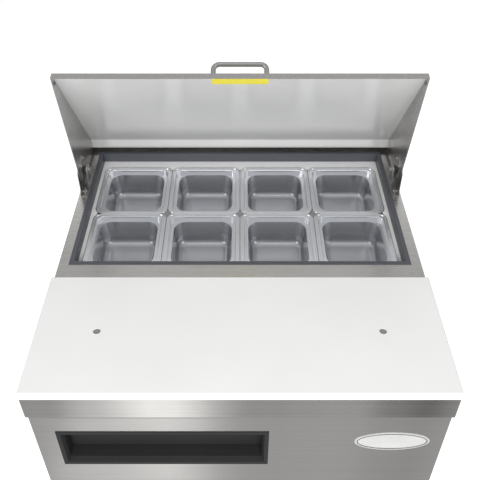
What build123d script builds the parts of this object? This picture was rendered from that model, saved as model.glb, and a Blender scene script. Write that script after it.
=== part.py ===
from build123d import *
import math
import os

# Refrigerated sandwich prep table, in millimetres. +Z is up, the front faces -Y, and the origin is
# the middle of the floor under it. The hood lid is modelled open, resting against its stop.

# ---- driving dimensions -------------------------------------------------------------------------
TOP_WIDTH = 724.0            # worktop, side to side
TOP_DEPTH = 780.0            # worktop, front to back
TOP_HEIGHT = 920.0           # floor to the worktop's upper face
FASCIA_HEIGHT = 50.0         # folded edge all round the worktop
SHEET = 1.2                  # stainless sheet thickness

BOARD_DEPTH = 272.0
BOARD_THICKNESS = 15.0
BOARD_OVERHANG = 1.3         # past the worktop at each side
BOARD_EDGE_RADIUS = 3.0
BOARD_PIN_SPACING = 506.0    # between the two locating pins under the board
BOARD_PIN_Y = -256.0
BOARD_PIN_RADIUS = 6.0
BOARD_HOLE_RADIUS = 6.6

WELL_HALF_WIDTH = 342.0      # opening in the worktop
WELL_FRONT = -69.0
WELL_REAR = 334.0
RIM_SIDE = 10.0              # width of the plastic frame's upper face
RIM_FRONT = 10.0
FRAME_RISE = 1.0             # how far the plastic frame stands above the worktop
LEDGE_DROP = 22.0            # worktop down to the ledge that carries the pans

PAN_PITCH_X = 162.1
PAN_PITCH_Y = 176.6
PAN_ROW_JOIN = 118.0         # y where the two rows of pans meet
PAN_WIDTH = 161.6
PAN_LENGTH = 176.0
PAN_DEPTH = 65.0
PAN_WALL = 1.0
PAN_RIM = 9.0                # width of the flat rim
PAN_RIM_THICKNESS = 2.0
PAN_RIM_RADIUS = 19.0
PAN_BEAD_WIDTH = 3.6         # rolled bead round the rim's edge
PAN_BEAD_RISE = 1.4
PAN_EDGE_EASE = 0.9          # eased edge where the rim turns down
PAN_SHOULDER_DROP = 8.0      # height of the straight part above the stacking shoulder
PAN_SHOULDER_STEP = 7.5
PAN_TAPER = 8.0              # degrees
PAN_TUB_RADIUS = 28.0
PAN_FLOOR_RADIUS = 17.0
PAN_COLUMNS = 4
PAN_ROWS = 2

DOOR_HALF_WIDTH = 358.5
DOOR_FACE = -387.0           # y of the door's outer face
DOOR_THICKNESS = 55.0
DOOR_BOTTOM = 144.0
DOOR_TOP = 865.0
HANDLE_LEFT = -320.0         # recessed door handle, outer edges of its frame
HANDLE_RIGHT = 50.5
HANDLE_TOP = 823.0
HANDLE_BOTTOM = 720.0
HANDLE_POCKET_DEPTH = 34.0

CABINET_FRONT = -321.5
CABINET_BACK = 374.0
CABINET_BOTTOM = 128.0
CABIN_HALF_WIDTH = 321.0     # inside of the refrigerated space
CABIN_BACK = 330.0
CABIN_FLOOR = 180.0
CABIN_CEILING = 868.0
STEP_FRONT = 110.0           # the machine compartment takes the lower rear of the cabinet
STEP_TOP = 480.0
MACHINE_FRONT = 150.0
MACHINE_TOP = 440.0
MACHINE_HALF_WIDTH = 330.0
LINER = 1.5

LID_HALF_WIDTH = 359.5
LID_FRONT_CLOSED = -82.0     # y of the lid's front edge when it is closed
LID_SEAT_GAP = 0.5           # closed lid above the worktop
LID_LIP = 14.0               # height of the lid's front face
LID_HEIGHT = 152.6
LID_SLOPE = 23.7             # degrees
LID_TOP_LENGTH = 345.0       # front face to rear edge
LID_LINER_DEPTH = 6.0        # outer skin to the inner face of the lid's panel
LID_OPEN_ANGLE = 76.6        # degrees from closed
PIVOT_Y = 213.0
PIVOT_RISE = 32.5            # pivot above the worktop

CASTER_X = 305.0
CASTER_FRONT_Y = -270.0
CASTER_REAR_Y = 300.0
WHEEL_RADIUS = 50.0
WHEEL_WIDTH = 30.0
CASTER_TRAIL = 30.0

RUNNING_CLEARANCE = 0.08     # radial, on pins and axles

# ---- worked-out sizes ---------------------------------------------------------------------------
HALF_WIDTH = TOP_WIDTH / 2
FRONT = -TOP_DEPTH / 2
REAR = TOP_DEPTH / 2
FASCIA_BOTTOM = TOP_HEIGHT - FASCIA_HEIGHT
LEDGE_TOP = TOP_HEIGHT - LEDGE_DROP
PIVOT_Z = TOP_HEIGHT + PIVOT_RISE
DOOR_BACK = DOOR_FACE + DOOR_THICKNESS
SIDE_OUTER = DOOR_HALF_WIDTH
SIDE_INNER = SIDE_OUTER - SHEET
SIDES = (-1, 1)


def block(x0, x1, y0, y1, z0, z1):
    """A box between two corners."""
    middle = Pos((x0 + x1) / 2, (y0 + y1) / 2, (z0 + z1) / 2)
    return middle * Box(abs(x1 - x0), abs(y1 - y0), abs(z1 - z0))


def rod_x(x0, x1, y, z, radius):
    """A round bar along X."""
    return Pos((x0 + x1) / 2, y, z) * Rot(0, 90, 0) * Cylinder(radius, abs(x1 - x0))


def rod_y(y0, y1, x, z, radius):
    """A round bar along Y."""
    return Pos(x, (y0 + y1) / 2, z) * Rot(90, 0, 0) * Cylinder(radius, abs(y1 - y0))


def rod_z(z0, z1, x, y, radius):
    """A round bar along Z."""
    return Pos(x, y, (z0 + z1) / 2) * Cylinder(radius, abs(z1 - z0))


def plate_yz(points, x0, x1):
    """A flat plate with the given outline in Y and Z, from x0 to x1."""
    outline = make_face(Polyline([(x0, y, z) for y, z in points], close=True).edges())
    solid = extrude(outline, amount=x1 - x0, dir=(1, 0, 0))
    return solid


def tube_along(points, radii, radius):
    """A round tube along straight runs joined by arcs."""
    path = FilletPolyline(*points, radius=radii)
    start = path.edges()[0]
    section = Plane(origin=start @ 0, z_dir=start % 0) * Circle(radius)
    return sweep(section, path=path)


def one_piece(shape):
    """Joins touching solids into one."""
    solids = shape.solids()
    joined = solids[0]
    for solid in solids[1:]:
        joined = joined + solid
    return joined


# ---- worktop and the well for the pans ----------------------------------------------------------
def make_worktop():
    """Stainless sheet, folded down all round, with the pan opening and the board's pin holes."""
    outer = block(-HALF_WIDTH, HALF_WIDTH, FRONT, REAR, FASCIA_BOTTOM, TOP_HEIGHT)
    outer = fillet(outer.edges().filter_by(Axis.Z), radius=2.0)
    hollow = block(-HALF_WIDTH + SHEET, HALF_WIDTH - SHEET, FRONT + SHEET, REAR - SHEET,
                   FASCIA_BOTTOM - 1, TOP_HEIGHT - SHEET)
    opening = block(-WELL_HALF_WIDTH, WELL_HALF_WIDTH, WELL_FRONT, WELL_REAR,
                    TOP_HEIGHT - 2 * SHEET, TOP_HEIGHT + SHEET)
    return_flange = block(-HALF_WIDTH + SHEET, HALF_WIDTH - SHEET, FRONT + SHEET, CABINET_FRONT - SHEET,
                          FASCIA_BOTTOM, FASCIA_BOTTOM + SHEET)
    sheet = outer - hollow - opening + return_flange
    for side in SIDES:
        sheet = sheet - rod_z(TOP_HEIGHT - 2 * SHEET, TOP_HEIGHT + SHEET,
                              side * BOARD_PIN_SPACING / 2, BOARD_PIN_Y, 4.0)
    return sheet


def make_breaker_frame():
    """Plastic frame that lines the opening and stops cold reaching the stainless sheet."""
    outer = block(-WELL_HALF_WIDTH, WELL_HALF_WIDTH, WELL_FRONT, WELL_REAR, LEDGE_TOP,
                  TOP_HEIGHT + FRAME_RISE)
    inner = block(-WELL_HALF_WIDTH + RIM_SIDE, WELL_HALF_WIDTH - RIM_SIDE, WELL_FRONT + RIM_FRONT,
                  WELL_REAR - RIM_SIDE, LEDGE_TOP - 1, TOP_HEIGHT + FRAME_RISE + 1)
    frame = outer - inner
    upper = frame.edges().filter_by(Axis.Z, reverse=True).group_by(Axis.Z)[-1]
    return fillet(upper, radius=0.8)


LEDGE_INNER_X = 319.0
LEDGE_INNER_FRONT = -52.5
LEDGE_INNER_REAR = 288.0


def make_pan_ledge():
    """Stainless ledge round the opening that the pan rims sit on, with its inner edge turned down."""
    top = block(-WELL_HALF_WIDTH, WELL_HALF_WIDTH, WELL_FRONT, WELL_REAR, LEDGE_TOP - SHEET, LEDGE_TOP)
    skirt = block(-LEDGE_INNER_X - SHEET, LEDGE_INNER_X + SHEET, LEDGE_INNER_FRONT - SHEET,
                  LEDGE_INNER_REAR + SHEET, CABIN_CEILING + 2.5, LEDGE_TOP)
    hole = block(-LEDGE_INNER_X, LEDGE_INNER_X, LEDGE_INNER_FRONT, LEDGE_INNER_REAR,
                 CABIN_CEILING - 1, LEDGE_TOP + 1)
    return top + skirt - hole


BAR_HALF_WIDTH = 6.0
BAR_DEPTH = 14.0
BAR_END_GAP = 0.1


def channel_bar(x0, x1, y0, y1, along_x):
    """A divider bar: a channel of folded sheet, open below."""
    bar = block(x0, x1, y0, y1, LEDGE_TOP - BAR_DEPTH, LEDGE_TOP)
    if along_x:
        inside = block(x0 - 1, x1 + 1, y0 + SHEET, y1 - SHEET, LEDGE_TOP - BAR_DEPTH - 1, LEDGE_TOP - SHEET)
    else:
        inside = block(x0 + SHEET, x1 - SHEET, y0 - 1, y1 + 1, LEDGE_TOP - BAR_DEPTH - 1, LEDGE_TOP - SHEET)
    return bar - inside


def make_divider_bars():
    """The long bar between the two rows of pans, and short bars between neighbouring pans of a row."""
    reach = LEDGE_INNER_X - BAR_END_GAP
    bars = [channel_bar(-reach, reach, PAN_ROW_JOIN - BAR_HALF_WIDTH, PAN_ROW_JOIN + BAR_HALF_WIDTH, True)]
    for column in range(1, PAN_COLUMNS):
        x = (column - PAN_COLUMNS / 2) * PAN_PITCH_X
        near = PAN_ROW_JOIN - BAR_HALF_WIDTH - BAR_END_GAP
        far = PAN_ROW_JOIN + BAR_HALF_WIDTH + BAR_END_GAP
        bars.append(channel_bar(x - BAR_HALF_WIDTH, x + BAR_HALF_WIDTH,
                                LEDGE_INNER_FRONT + BAR_END_GAP, near, False))
        bars.append(channel_bar(x - BAR_HALF_WIDTH, x + BAR_HALF_WIDTH,
                                far, LEDGE_INNER_REAR - BAR_END_GAP, False))
    return Compound(children=bars)


def pan_block(width, length, radius, top, depth, taper):
    """A rounded block that narrows downwards, with its upper face at z = top."""
    outline = RectangleRounded(width, length, radius)
    return Pos(0, 0, top) * extrude(outline, amount=-depth, taper=taper)


def eased_mouth(width, length, radius, top):
    """A shallow flared block that eases an opening's upper edge."""
    wide = 2 * PAN_EDGE_EASE
    return pan_block(width + wide, length + wide, radius + PAN_EDGE_EASE, top, PAN_EDGE_EASE, 45)


def make_pan(column, row):
    """One sixth-size food pan: beaded rim, straight neck, stacking shoulder and tapered tub."""
    neck_width = PAN_WIDTH - 2 * PAN_RIM
    neck_length = PAN_LENGTH - 2 * PAN_RIM
    neck_radius = PAN_RIM_RADIUS - 4.0
    tub_width = neck_width - 2 * PAN_SHOULDER_STEP
    tub_length = neck_length - 2 * PAN_SHOULDER_STEP
    rim_top = PAN_RIM_THICKNESS
    bead_top = rim_top + PAN_BEAD_RISE
    rim = extrude(RectangleRounded(PAN_WIDTH, PAN_LENGTH, PAN_RIM_RADIUS), amount=bead_top)
    rim = fillet(rim.edges().group_by(Axis.Z)[-1], radius=1.7)
    inside_bead = pan_block(PAN_WIDTH - 2 * PAN_BEAD_WIDTH, PAN_LENGTH - 2 * PAN_BEAD_WIDTH,
                            PAN_RIM_RADIUS - PAN_BEAD_WIDTH, bead_top, PAN_BEAD_RISE, 30)
    neck = pan_block(neck_width, neck_length, neck_radius, rim_top, PAN_SHOULDER_DROP + rim_top, 0)
    tub = pan_block(tub_width, tub_length, PAN_TUB_RADIUS, -PAN_SHOULDER_DROP,
                    PAN_DEPTH - PAN_SHOULDER_DROP, PAN_TAPER)
    tub = fillet(tub.edges().group_by(Axis.Z)[0], radius=PAN_FLOOR_RADIUS)
    shell = rim + neck + tub - inside_bead
    mouth_width = neck_width - 2 * PAN_WALL
    mouth_length = neck_length - 2 * PAN_WALL
    shoulder_top = PAN_WALL - PAN_SHOULDER_DROP
    neck_hollow = pan_block(mouth_width, mouth_length, neck_radius - PAN_WALL,
                            rim_top + 1, rim_top + 1 - shoulder_top, 0)
    tub_hollow = pan_block(tub_width - 2 * PAN_WALL, tub_length - 2 * PAN_WALL, PAN_TUB_RADIUS - PAN_WALL,
                           shoulder_top, PAN_DEPTH - PAN_SHOULDER_DROP, PAN_TAPER)
    tub_hollow = fillet(tub_hollow.edges().group_by(Axis.Z)[0], radius=PAN_FLOOR_RADIUS - PAN_WALL)
    hollow = neck_hollow + tub_hollow + eased_mouth(mouth_width, mouth_length, neck_radius - PAN_WALL, rim_top)
    x = (column + 0.5 - PAN_COLUMNS / 2) * PAN_PITCH_X
    y = PAN_ROW_JOIN + (row - 0.5) * PAN_PITCH_Y
    return Pos(x, y, LEDGE_TOP) * (shell - hollow)


# ---- cutting board ------------------------------------------------------------------------------
def make_cutting_board():
    """White polyethylene board with two through holes that drop over the locating pins."""
    half = HALF_WIDTH + BOARD_OVERHANG
    board = block(-half, half, FRONT, FRONT + BOARD_DEPTH, TOP_HEIGHT, TOP_HEIGHT + BOARD_THICKNESS)
    board = fillet(board.edges().filter_by(Axis.Z), radius=4.0)
    board = fillet(board.edges().group_by(Axis.Z)[-1], radius=BOARD_EDGE_RADIUS)
    for side in SIDES:
        board = board - rod_z(TOP_HEIGHT - 1, TOP_HEIGHT + BOARD_THICKNESS + 1,
                              side * BOARD_PIN_SPACING / 2, BOARD_PIN_Y, BOARD_HOLE_RADIUS)
    return board


def make_board_pins():
    """Two stainless locating pins that stand on the worktop under the board."""
    pins = []
    for side in SIDES:
        x = side * BOARD_PIN_SPACING / 2
        head = rod_z(TOP_HEIGHT, TOP_HEIGHT + BOARD_THICKNESS - 1.0, x, BOARD_PIN_Y, BOARD_PIN_RADIUS)
        head = fillet(head.edges().group_by(Axis.Z)[-1], radius=1.0)
        shank = rod_z(TOP_HEIGHT - 6, TOP_HEIGHT, x, BOARD_PIN_Y, 4.0)
        pins.append(head + shank)
    return Compound(children=pins)


# ---- hood lid, built closed and then turned open ------------------------------------------------
SLOPE_TAN = math.tan(math.radians(LID_SLOPE))
SLOPE_COS = math.cos(math.radians(LID_SLOPE))


def lid_point(along, up):
    """A point of the lid's side view, from its front lower edge, with the lid closed."""
    return (LID_FRONT_CLOSED + along, TOP_HEIGHT + LID_SEAT_GAP + up)


def slope_height(along, inset):
    """Height of the sloped panel, moved in from its outer face by the inset."""
    return LID_LIP + along * SLOPE_TAN - inset / SLOPE_COS


def slope_end(inset):
    """Where the sloped panel meets the flat part behind it."""
    return (LID_HEIGHT - inset - LID_LIP + inset / SLOPE_COS) / SLOPE_TAN


def opened(shape):
    """Turns a piece of the closed lid to the open position."""
    pivot = Pos(0, PIVOT_Y, PIVOT_Z)
    return pivot * Rot(-LID_OPEN_ANGLE, 0, 0) * pivot.inverse() * shape


def panel_sheet(inset, thickness, half_width, start, stop):
    """A bent sheet that follows the lid's slope and flat top at the given inset."""
    deep = inset + thickness
    points = [
        lid_point(start, slope_height(start, inset)),
        lid_point(slope_end(inset), LID_HEIGHT - inset),
        lid_point(stop, LID_HEIGHT - inset),
        lid_point(stop, LID_HEIGHT - deep),
        lid_point(slope_end(deep), LID_HEIGHT - deep),
        lid_point(start, slope_height(start, deep)),
    ]
    return plate_yz(points, -half_width, half_width)


PIVOT_PIN_RADIUS = 4.0
LID_EAR_RADIUS = PIVOT_RISE - 0.8
LID_EAR_STEPS = 12


def lid_ear():
    """The side wall's lower rear edge, which follows a circle round the pivot to clear the worktop."""
    points = []
    for step in range(LID_EAR_STEPS + 1):
        angle = math.radians(-90.0 + LID_OPEN_ANGLE * step / LID_EAR_STEPS)
        points.append((PIVOT_Y + LID_EAR_RADIUS * math.cos(angle), PIVOT_Z + LID_EAR_RADIUS * math.sin(angle)))
    return points


def make_lid_skin():
    """Outer stainless sheet of the lid: front face, slope, flat top and both side walls."""
    outline = [
        lid_point(0, 0),
        lid_point(0, LID_LIP),
        lid_point(slope_end(0), LID_HEIGHT),
        lid_point(LID_TOP_LENGTH, LID_HEIGHT),
    ]
    outline = outline + lid_ear()[::-1] + [(PIVOT_Y, TOP_HEIGHT + LID_SEAT_GAP)]
    body = plate_yz(outline, -LID_HALF_WIDTH, LID_HALF_WIDTH)
    past = LID_TOP_LENGTH + 20
    hollow_outline = [
        lid_point(SHEET, -5),
        lid_point(SHEET, slope_height(SHEET, SHEET)),
        lid_point(slope_end(SHEET), LID_HEIGHT - SHEET),
        lid_point(LID_TOP_LENGTH - SHEET, LID_HEIGHT - SHEET),
        lid_point(LID_TOP_LENGTH - SHEET, LID_HEIGHT - LID_LINER_DEPTH),
        lid_point(past, LID_HEIGHT - LID_LINER_DEPTH),
        lid_point(past, -5),
    ]
    hollow = plate_yz(hollow_outline, -LID_HALF_WIDTH + SHEET, LID_HALF_WIDTH - SHEET)
    pin_hole = rod_x(-HALF_WIDTH - 5, HALF_WIDTH + 5, PIVOT_Y, PIVOT_Z, PIVOT_PIN_RADIUS + RUNNING_CLEARANCE)
    return opened(body - hollow - pin_hole)


LID_SKIN_CLEAR = 0.1


def make_lid_foam():
    """Insulation between the lid's outer skin and its inner panel."""
    return opened(panel_sheet(SHEET, LID_LINER_DEPTH - 2 * SHEET + 0.2, LID_HALF_WIDTH - SHEET - LID_SKIN_CLEAR,
                              2 * SHEET, LID_TOP_LENGTH - SHEET - LID_SKIN_CLEAR))


def make_lid_liner():
    """Polished inner panel of the lid."""
    thickness = SHEET - 0.2
    return opened(panel_sheet(LID_LINER_DEPTH - thickness, thickness, LID_HALF_WIDTH - SHEET - LID_SKIN_CLEAR,
                              2 * SHEET, LID_TOP_LENGTH - SHEET - LID_SKIN_CLEAR))


LID_HANDLE_WIDTH = 104.0     # between the middles of its legs
LID_HANDLE_REACH = 30.5      # sloped face to the middle of the grip
LID_HANDLE_SETBACK = 22.0    # from the lid's front face
LID_HANDLE_RADIUS = 5.0
LID_HANDLE_BEND = 12.0


def make_lid_handle():
    """Bent round bar that stands square on the lid's sloped face, near its front edge."""
    y, z = lid_point(LID_HANDLE_SETBACK, slope_height(LID_HANDLE_SETBACK, 0))
    half = LID_HANDLE_WIDTH / 2
    base = Pos(0, y, z) * Rot(LID_SLOPE, 0, 0)
    path = FilletPolyline((-half, 0, 0), (-half, 0, LID_HANDLE_REACH), (half, 0, LID_HANDLE_REACH),
                          (half, 0, 0), radius=LID_HANDLE_BEND)
    section = Pos(-half, 0, 0) * Circle(LID_HANDLE_RADIUS)
    return opened(base * sweep(section, path=path))


ARM_THICKNESS = 3.0
ARM_OUTER = LID_HALF_WIDTH - SHEET


def make_hinge_arms():
    """Stiffening plates on the inside of the lid's side walls, each with its pivot hole."""
    arms = []
    for side in SIDES:
        y0, z0 = lid_point(264, 14)
        y1, z1 = lid_point(312, 52)
        arm = block(side * (ARM_OUTER - ARM_THICKNESS), side * ARM_OUTER, y0, y1, z0, z1)
        arm = fillet(arm.edges().filter_by(Axis.X), radius=9.0)
        hole = rod_x(side * (ARM_OUTER - 2 * ARM_THICKNESS), side * (ARM_OUTER + SHEET), PIVOT_Y, PIVOT_Z,
                     PIVOT_PIN_RADIUS + RUNNING_CLEARANCE)
        arms.append(opened(arm - hole))
    return Compound(children=arms)


EAR_INNER = 345.5
EAR_THICKNESS = 3.0
FOOT_OUTER = 354.0
STOP_PIN_Y = 163.0
STOP_PIN_RISE = 9.0


def make_hinge_bases():
    """Angle brackets on the worktop's side margins, each with its pivot stud and front cross pin."""
    bases = []
    for side in SIDES:
        foot = block(side * (EAR_INNER - 2), side * FOOT_OUTER, STOP_PIN_Y - 8, PIVOT_Y + 30,
                     TOP_HEIGHT, TOP_HEIGHT + 2.5)
        foot = fillet(foot.edges().filter_by(Axis.Z), radius=3.0)
        ear = block(side * EAR_INNER, side * (EAR_INNER + EAR_THICKNESS), PIVOT_Y - 13, PIVOT_Y + 13,
                    TOP_HEIGHT, PIVOT_Z)
        ear = ear + rod_x(side * EAR_INNER, side * (EAR_INNER + EAR_THICKNESS), PIVOT_Y, PIVOT_Z, 13.0)
        stud = rod_x(side * (EAR_INNER - 2.5), side * LID_HALF_WIDTH, PIVOT_Y, PIVOT_Z, PIVOT_PIN_RADIUS)
        head = rod_x(side * (EAR_INNER - 3.5), side * EAR_INNER, PIVOT_Y, PIVOT_Z, 6.5)
        lug = block(side * EAR_INNER, side * (EAR_INNER + EAR_THICKNESS), STOP_PIN_Y - 6, STOP_PIN_Y + 6,
                    TOP_HEIGHT, TOP_HEIGHT + STOP_PIN_RISE + 6)
        pin = rod_x(side * (EAR_INNER - 3), side * (ARM_OUTER - ARM_THICKNESS - 0.7), STOP_PIN_Y,
                    TOP_HEIGHT + STOP_PIN_RISE, 2.5)
        bases.append(foot + ear + stud + head + lug + pin)
    return Compound(children=bases)


SPRING_X0 = 349.3
SPRING_X1 = 354.3
SPRING_INNER = 5.0
SPRING_OUTER = 9.0
SPRING_WIRE = 1.2


def make_hinge_springs():
    """Black torsion springs round the pivot studs, each with a leg that hooks over the cross pin."""
    springs = []
    for side in SIDES:
        coil = rod_x(side * SPRING_X0, side * SPRING_X1, PIVOT_Y, PIVOT_Z, SPRING_OUTER)
        coil = coil - rod_x(side * (SPRING_X0 - 1), side * (SPRING_X1 + 1), PIVOT_Y, PIVOT_Z, SPRING_INNER)
        x = side * (SPRING_X0 + SPRING_X1) / 2
        start = Vector(x, PIVOT_Y - SPRING_INNER - 2, PIVOT_Z - 3)
        end = Vector(x, STOP_PIN_Y - 22, TOP_HEIGHT + STOP_PIN_RISE + 2.5 + SPRING_WIRE + 0.3)
        reach = end - start
        leg = Plane(origin=(start + end) * 0.5, z_dir=reach) * Cylinder(SPRING_WIRE, reach.length)
        springs.append(coil + leg)
    return Compound(children=springs)


HOOD_FRONT_FOOT = 175.0
HOOD_FRONT_STEP = 45.0
HOOD_TOP_FRONT = 270.0
HOOD_BACK = 388.0


def make_hood_back():
    """Fixed rear part of the hood: two side plates, a top and a back that the lid turns inside."""
    top = TOP_HEIGHT + LID_SEAT_GAP + LID_HEIGHT
    side_outline = [
        (HOOD_FRONT_FOOT, TOP_HEIGHT),
        (HOOD_FRONT_FOOT, TOP_HEIGHT + HOOD_FRONT_STEP),
        (HOOD_TOP_FRONT, top),
        (HOOD_BACK, top),
        (HOOD_BACK, TOP_HEIGHT),
    ]
    body = plate_yz(side_outline, -HALF_WIDTH, HALF_WIDTH)
    hollow = block(-HALF_WIDTH + SHEET, HALF_WIDTH - SHEET, HOOD_FRONT_FOOT - 5, HOOD_BACK - SHEET,
                   TOP_HEIGHT - 5, top - SHEET)
    above_slope = [
        (HOOD_FRONT_FOOT - 5, TOP_HEIGHT + HOOD_FRONT_STEP),
        (HOOD_TOP_FRONT - 0.01, TOP_HEIGHT + HOOD_FRONT_STEP),
        (HOOD_TOP_FRONT - 0.01, top + 5),
        (HOOD_FRONT_FOOT - 5, top + 5),
    ]
    slope_cut = plate_yz(above_slope, -HALF_WIDTH + SHEET, HALF_WIDTH - SHEET)
    foot_flange = block(-HALF_WIDTH + SHEET, HALF_WIDTH - SHEET, HOOD_BACK - 20, HOOD_BACK - SHEET,
                        TOP_HEIGHT, TOP_HEIGHT + SHEET)
    return body - hollow - slope_cut + foot_flange


# ---- cabinet ------------------------------------------------------------------------------------
def make_cabinet_shell():
    """Stainless sheet wrapped round the cabinet's sides and, above the machine compartment, its back."""
    top = TOP_HEIGHT - 3
    shell = block(-SIDE_OUTER, SIDE_OUTER, CABINET_BACK, CABINET_BACK + SHEET, MACHINE_TOP + 4, top)
    for side in SIDES:
        shell = shell + block(side * SIDE_INNER, side * SIDE_OUTER, CABINET_FRONT, CABINET_BACK + SHEET,
                              MACHINE_TOP + 4, top)
        shell = shell + block(side * SIDE_INNER, side * SIDE_OUTER, CABINET_FRONT, CABINET_BACK,
                              CABINET_BOTTOM, MACHINE_TOP + 4)
    return shell


HEADER_BOTTOM = 826.0
HEADER_DEPTH = 25.0


def make_front_frame():
    """Stainless frame round the door opening that the gasket seals on, with a folded header."""
    plate = block(-SIDE_INNER, SIDE_INNER, CABINET_FRONT, CABINET_FRONT + 2 * SHEET,
                  CABINET_BOTTOM, FASCIA_BOTTOM)
    opening = block(-CABIN_HALF_WIDTH, CABIN_HALF_WIDTH, CABINET_FRONT - 1, CABINET_FRONT + 3 * SHEET,
                    CABIN_FLOOR, HEADER_BOTTOM)
    header = block(-CABIN_HALF_WIDTH, CABIN_HALF_WIDTH, CABINET_FRONT, CABINET_FRONT + HEADER_DEPTH,
                   HEADER_BOTTOM, HEADER_BOTTOM + SHEET)
    return plate - opening + header


BASE_THICKNESS = 3.0
BASE_TOP = CABINET_BOTTOM + BASE_THICKNESS


def make_base_tray():
    """Steel floor of the cabinet that the casters bolt to, with tapped caster holes."""
    tray = block(-SIDE_INNER, SIDE_INNER, CABINET_FRONT + 2 * SHEET, CABINET_BACK, CABINET_BOTTOM, BASE_TOP)
    for x, y in caster_places():
        for hole_x, hole_y in plate_holes():
            tray = tray - rod_z(CABINET_BOTTOM - 1, BASE_TOP + 1, x + hole_x, y + hole_y, 4.0)
    return tray


def cabin_space(grow):
    """The refrigerated space, made larger on every closed side by the given amount."""
    lower = block(-CABIN_HALF_WIDTH - grow, CABIN_HALF_WIDTH + grow, CABINET_FRONT - 10, STEP_FRONT + grow,
                  CABIN_FLOOR - grow, CABIN_CEILING + grow)
    upper = block(-CABIN_HALF_WIDTH - grow, CABIN_HALF_WIDTH + grow, STEP_FRONT - 10, CABIN_BACK + grow,
                  STEP_TOP - grow, CABIN_CEILING + grow)
    return lower + upper


TUBE_HOLE = 7.0
TUBE_X = (-60.0, -90.0)      # where the two refrigerant tubes rise through the insulation
TUBE_Y = 300.0


def make_cabinet_foam():
    """Foamed insulation between the outer panels and the liner."""
    body = block(-SIDE_INNER, SIDE_INNER, CABINET_FRONT + 2 * SHEET, CABINET_BACK, BASE_TOP, TOP_HEIGHT - SHEET)
    nose = block(-SIDE_INNER, SIDE_INNER, FRONT + 2 * SHEET, CABINET_FRONT + 2 * SHEET,
                 FASCIA_BOTTOM + 2 * SHEET, TOP_HEIGHT - SHEET)
    machine = block(-MACHINE_HALF_WIDTH, MACHINE_HALF_WIDTH, MACHINE_FRONT, CABINET_BACK + 5,
                    BASE_TOP - 5, MACHINE_TOP)
    seat = block(-WELL_HALF_WIDTH, WELL_HALF_WIDTH, WELL_FRONT, WELL_REAR, LEDGE_TOP - SHEET, TOP_HEIGHT + 5)
    well = block(-LEDGE_INNER_X - SHEET, LEDGE_INNER_X + SHEET, LEDGE_INNER_FRONT - SHEET,
                 LEDGE_INNER_REAR + SHEET, CABIN_CEILING - 5, TOP_HEIGHT + 5)
    foam = body + nose - cabin_space(LINER) - machine - seat - well
    for x in TUBE_X:
        foam = foam - rod_z(MACHINE_TOP - 5, STEP_TOP + 5, x, TUBE_Y, TUBE_HOLE)
    for side in SIDES:
        foam = foam - rod_z(TOP_HEIGHT - 10, TOP_HEIGHT + 5, side * BOARD_PIN_SPACING / 2, BOARD_PIN_Y, 4.0)
    return foam


def make_cabinet_liner():
    """Aluminium lining of the refrigerated space, as folded panels that meet at the corners."""
    front = CABINET_FRONT + 2 * SHEET
    x = CABIN_HALF_WIDTH
    top = CABIN_CEILING
    panels = []
    for side in SIDES:
        wall_outline = [
            (front, CABIN_FLOOR),
            (STEP_FRONT, CABIN_FLOOR),
            (STEP_FRONT, STEP_TOP),
            (CABIN_BACK, STEP_TOP),
            (CABIN_BACK, top),
            (front, top),
        ]
        panels.append(plate_yz(wall_outline, side * x, side * (x + LINER)))
    panels.append(block(-x, x, front, STEP_FRONT + LINER, CABIN_FLOOR - LINER, CABIN_FLOOR))
    panels.append(block(-x, x, STEP_FRONT, STEP_FRONT + LINER, CABIN_FLOOR, STEP_TOP - LINER))
    shelf = block(-x, x, STEP_FRONT, CABIN_BACK + LINER, STEP_TOP - LINER, STEP_TOP)
    for tube_x in TUBE_X:
        shelf = shelf - rod_z(STEP_TOP - 5, STEP_TOP + 5, tube_x, TUBE_Y, TUBE_HOLE)
    panels.append(shelf)
    panels.append(block(-x, x, CABIN_BACK, CABIN_BACK + LINER, STEP_TOP, top))
    panels.append(block(-x, x, front, LEDGE_INNER_FRONT - SHEET, top, top + LINER))
    panels.append(block(-x, x, LEDGE_INNER_REAR + SHEET, CABIN_BACK + LINER, top, top + LINER))
    return Compound(children=panels)


SHELF_Z = 520.0
SHELF_FRONT = -300.0
SHELF_REAR = 96.0
SHELF_HALF_WIDTH = 312.0
SHELF_WIRE = 2.5
SHELF_FRAME = 4.0
SHELF_WIRES = 19


def make_shelf():
    """Coated wire shelf: a frame of thicker rod with close wires across it."""
    shelf = rod_x(-SHELF_HALF_WIDTH, SHELF_HALF_WIDTH, SHELF_FRONT, SHELF_Z, SHELF_FRAME)
    shelf = shelf + rod_x(-SHELF_HALF_WIDTH, SHELF_HALF_WIDTH, SHELF_REAR, SHELF_Z, SHELF_FRAME)
    middle = (SHELF_FRONT + SHELF_REAR) / 2
    shelf = shelf + rod_x(-SHELF_HALF_WIDTH, SHELF_HALF_WIDTH, middle, SHELF_Z, SHELF_FRAME)
    spread = 2 * SHELF_HALF_WIDTH - 30
    for number in range(SHELF_WIRES):
        x = -spread / 2 + spread * number / (SHELF_WIRES - 1)
        shelf = shelf + rod_y(SHELF_FRONT - 2, SHELF_REAR + 2, x, SHELF_Z + SHELF_FRAME, SHELF_WIRE)
    return shelf


def make_shelf_clips():
    """Four clips on the liner's walls that carry the shelf's frame."""
    clips = []
    for side in SIDES:
        for y in (SHELF_FRONT, SHELF_REAR):
            plate = block(side * CABIN_HALF_WIDTH, side * (CABIN_HALF_WIDTH - 2), y - 10, y + 10,
                          SHELF_Z - 24, SHELF_Z + 8)
            tongue = block(side * (CABIN_HALF_WIDTH - 1), side * (CABIN_HALF_WIDTH - 22), y - 10, y + 10,
                           SHELF_Z - SHELF_FRAME - 3, SHELF_Z - SHELF_FRAME)
            clips.append(plate + tongue)
    return Compound(children=clips)


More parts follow.
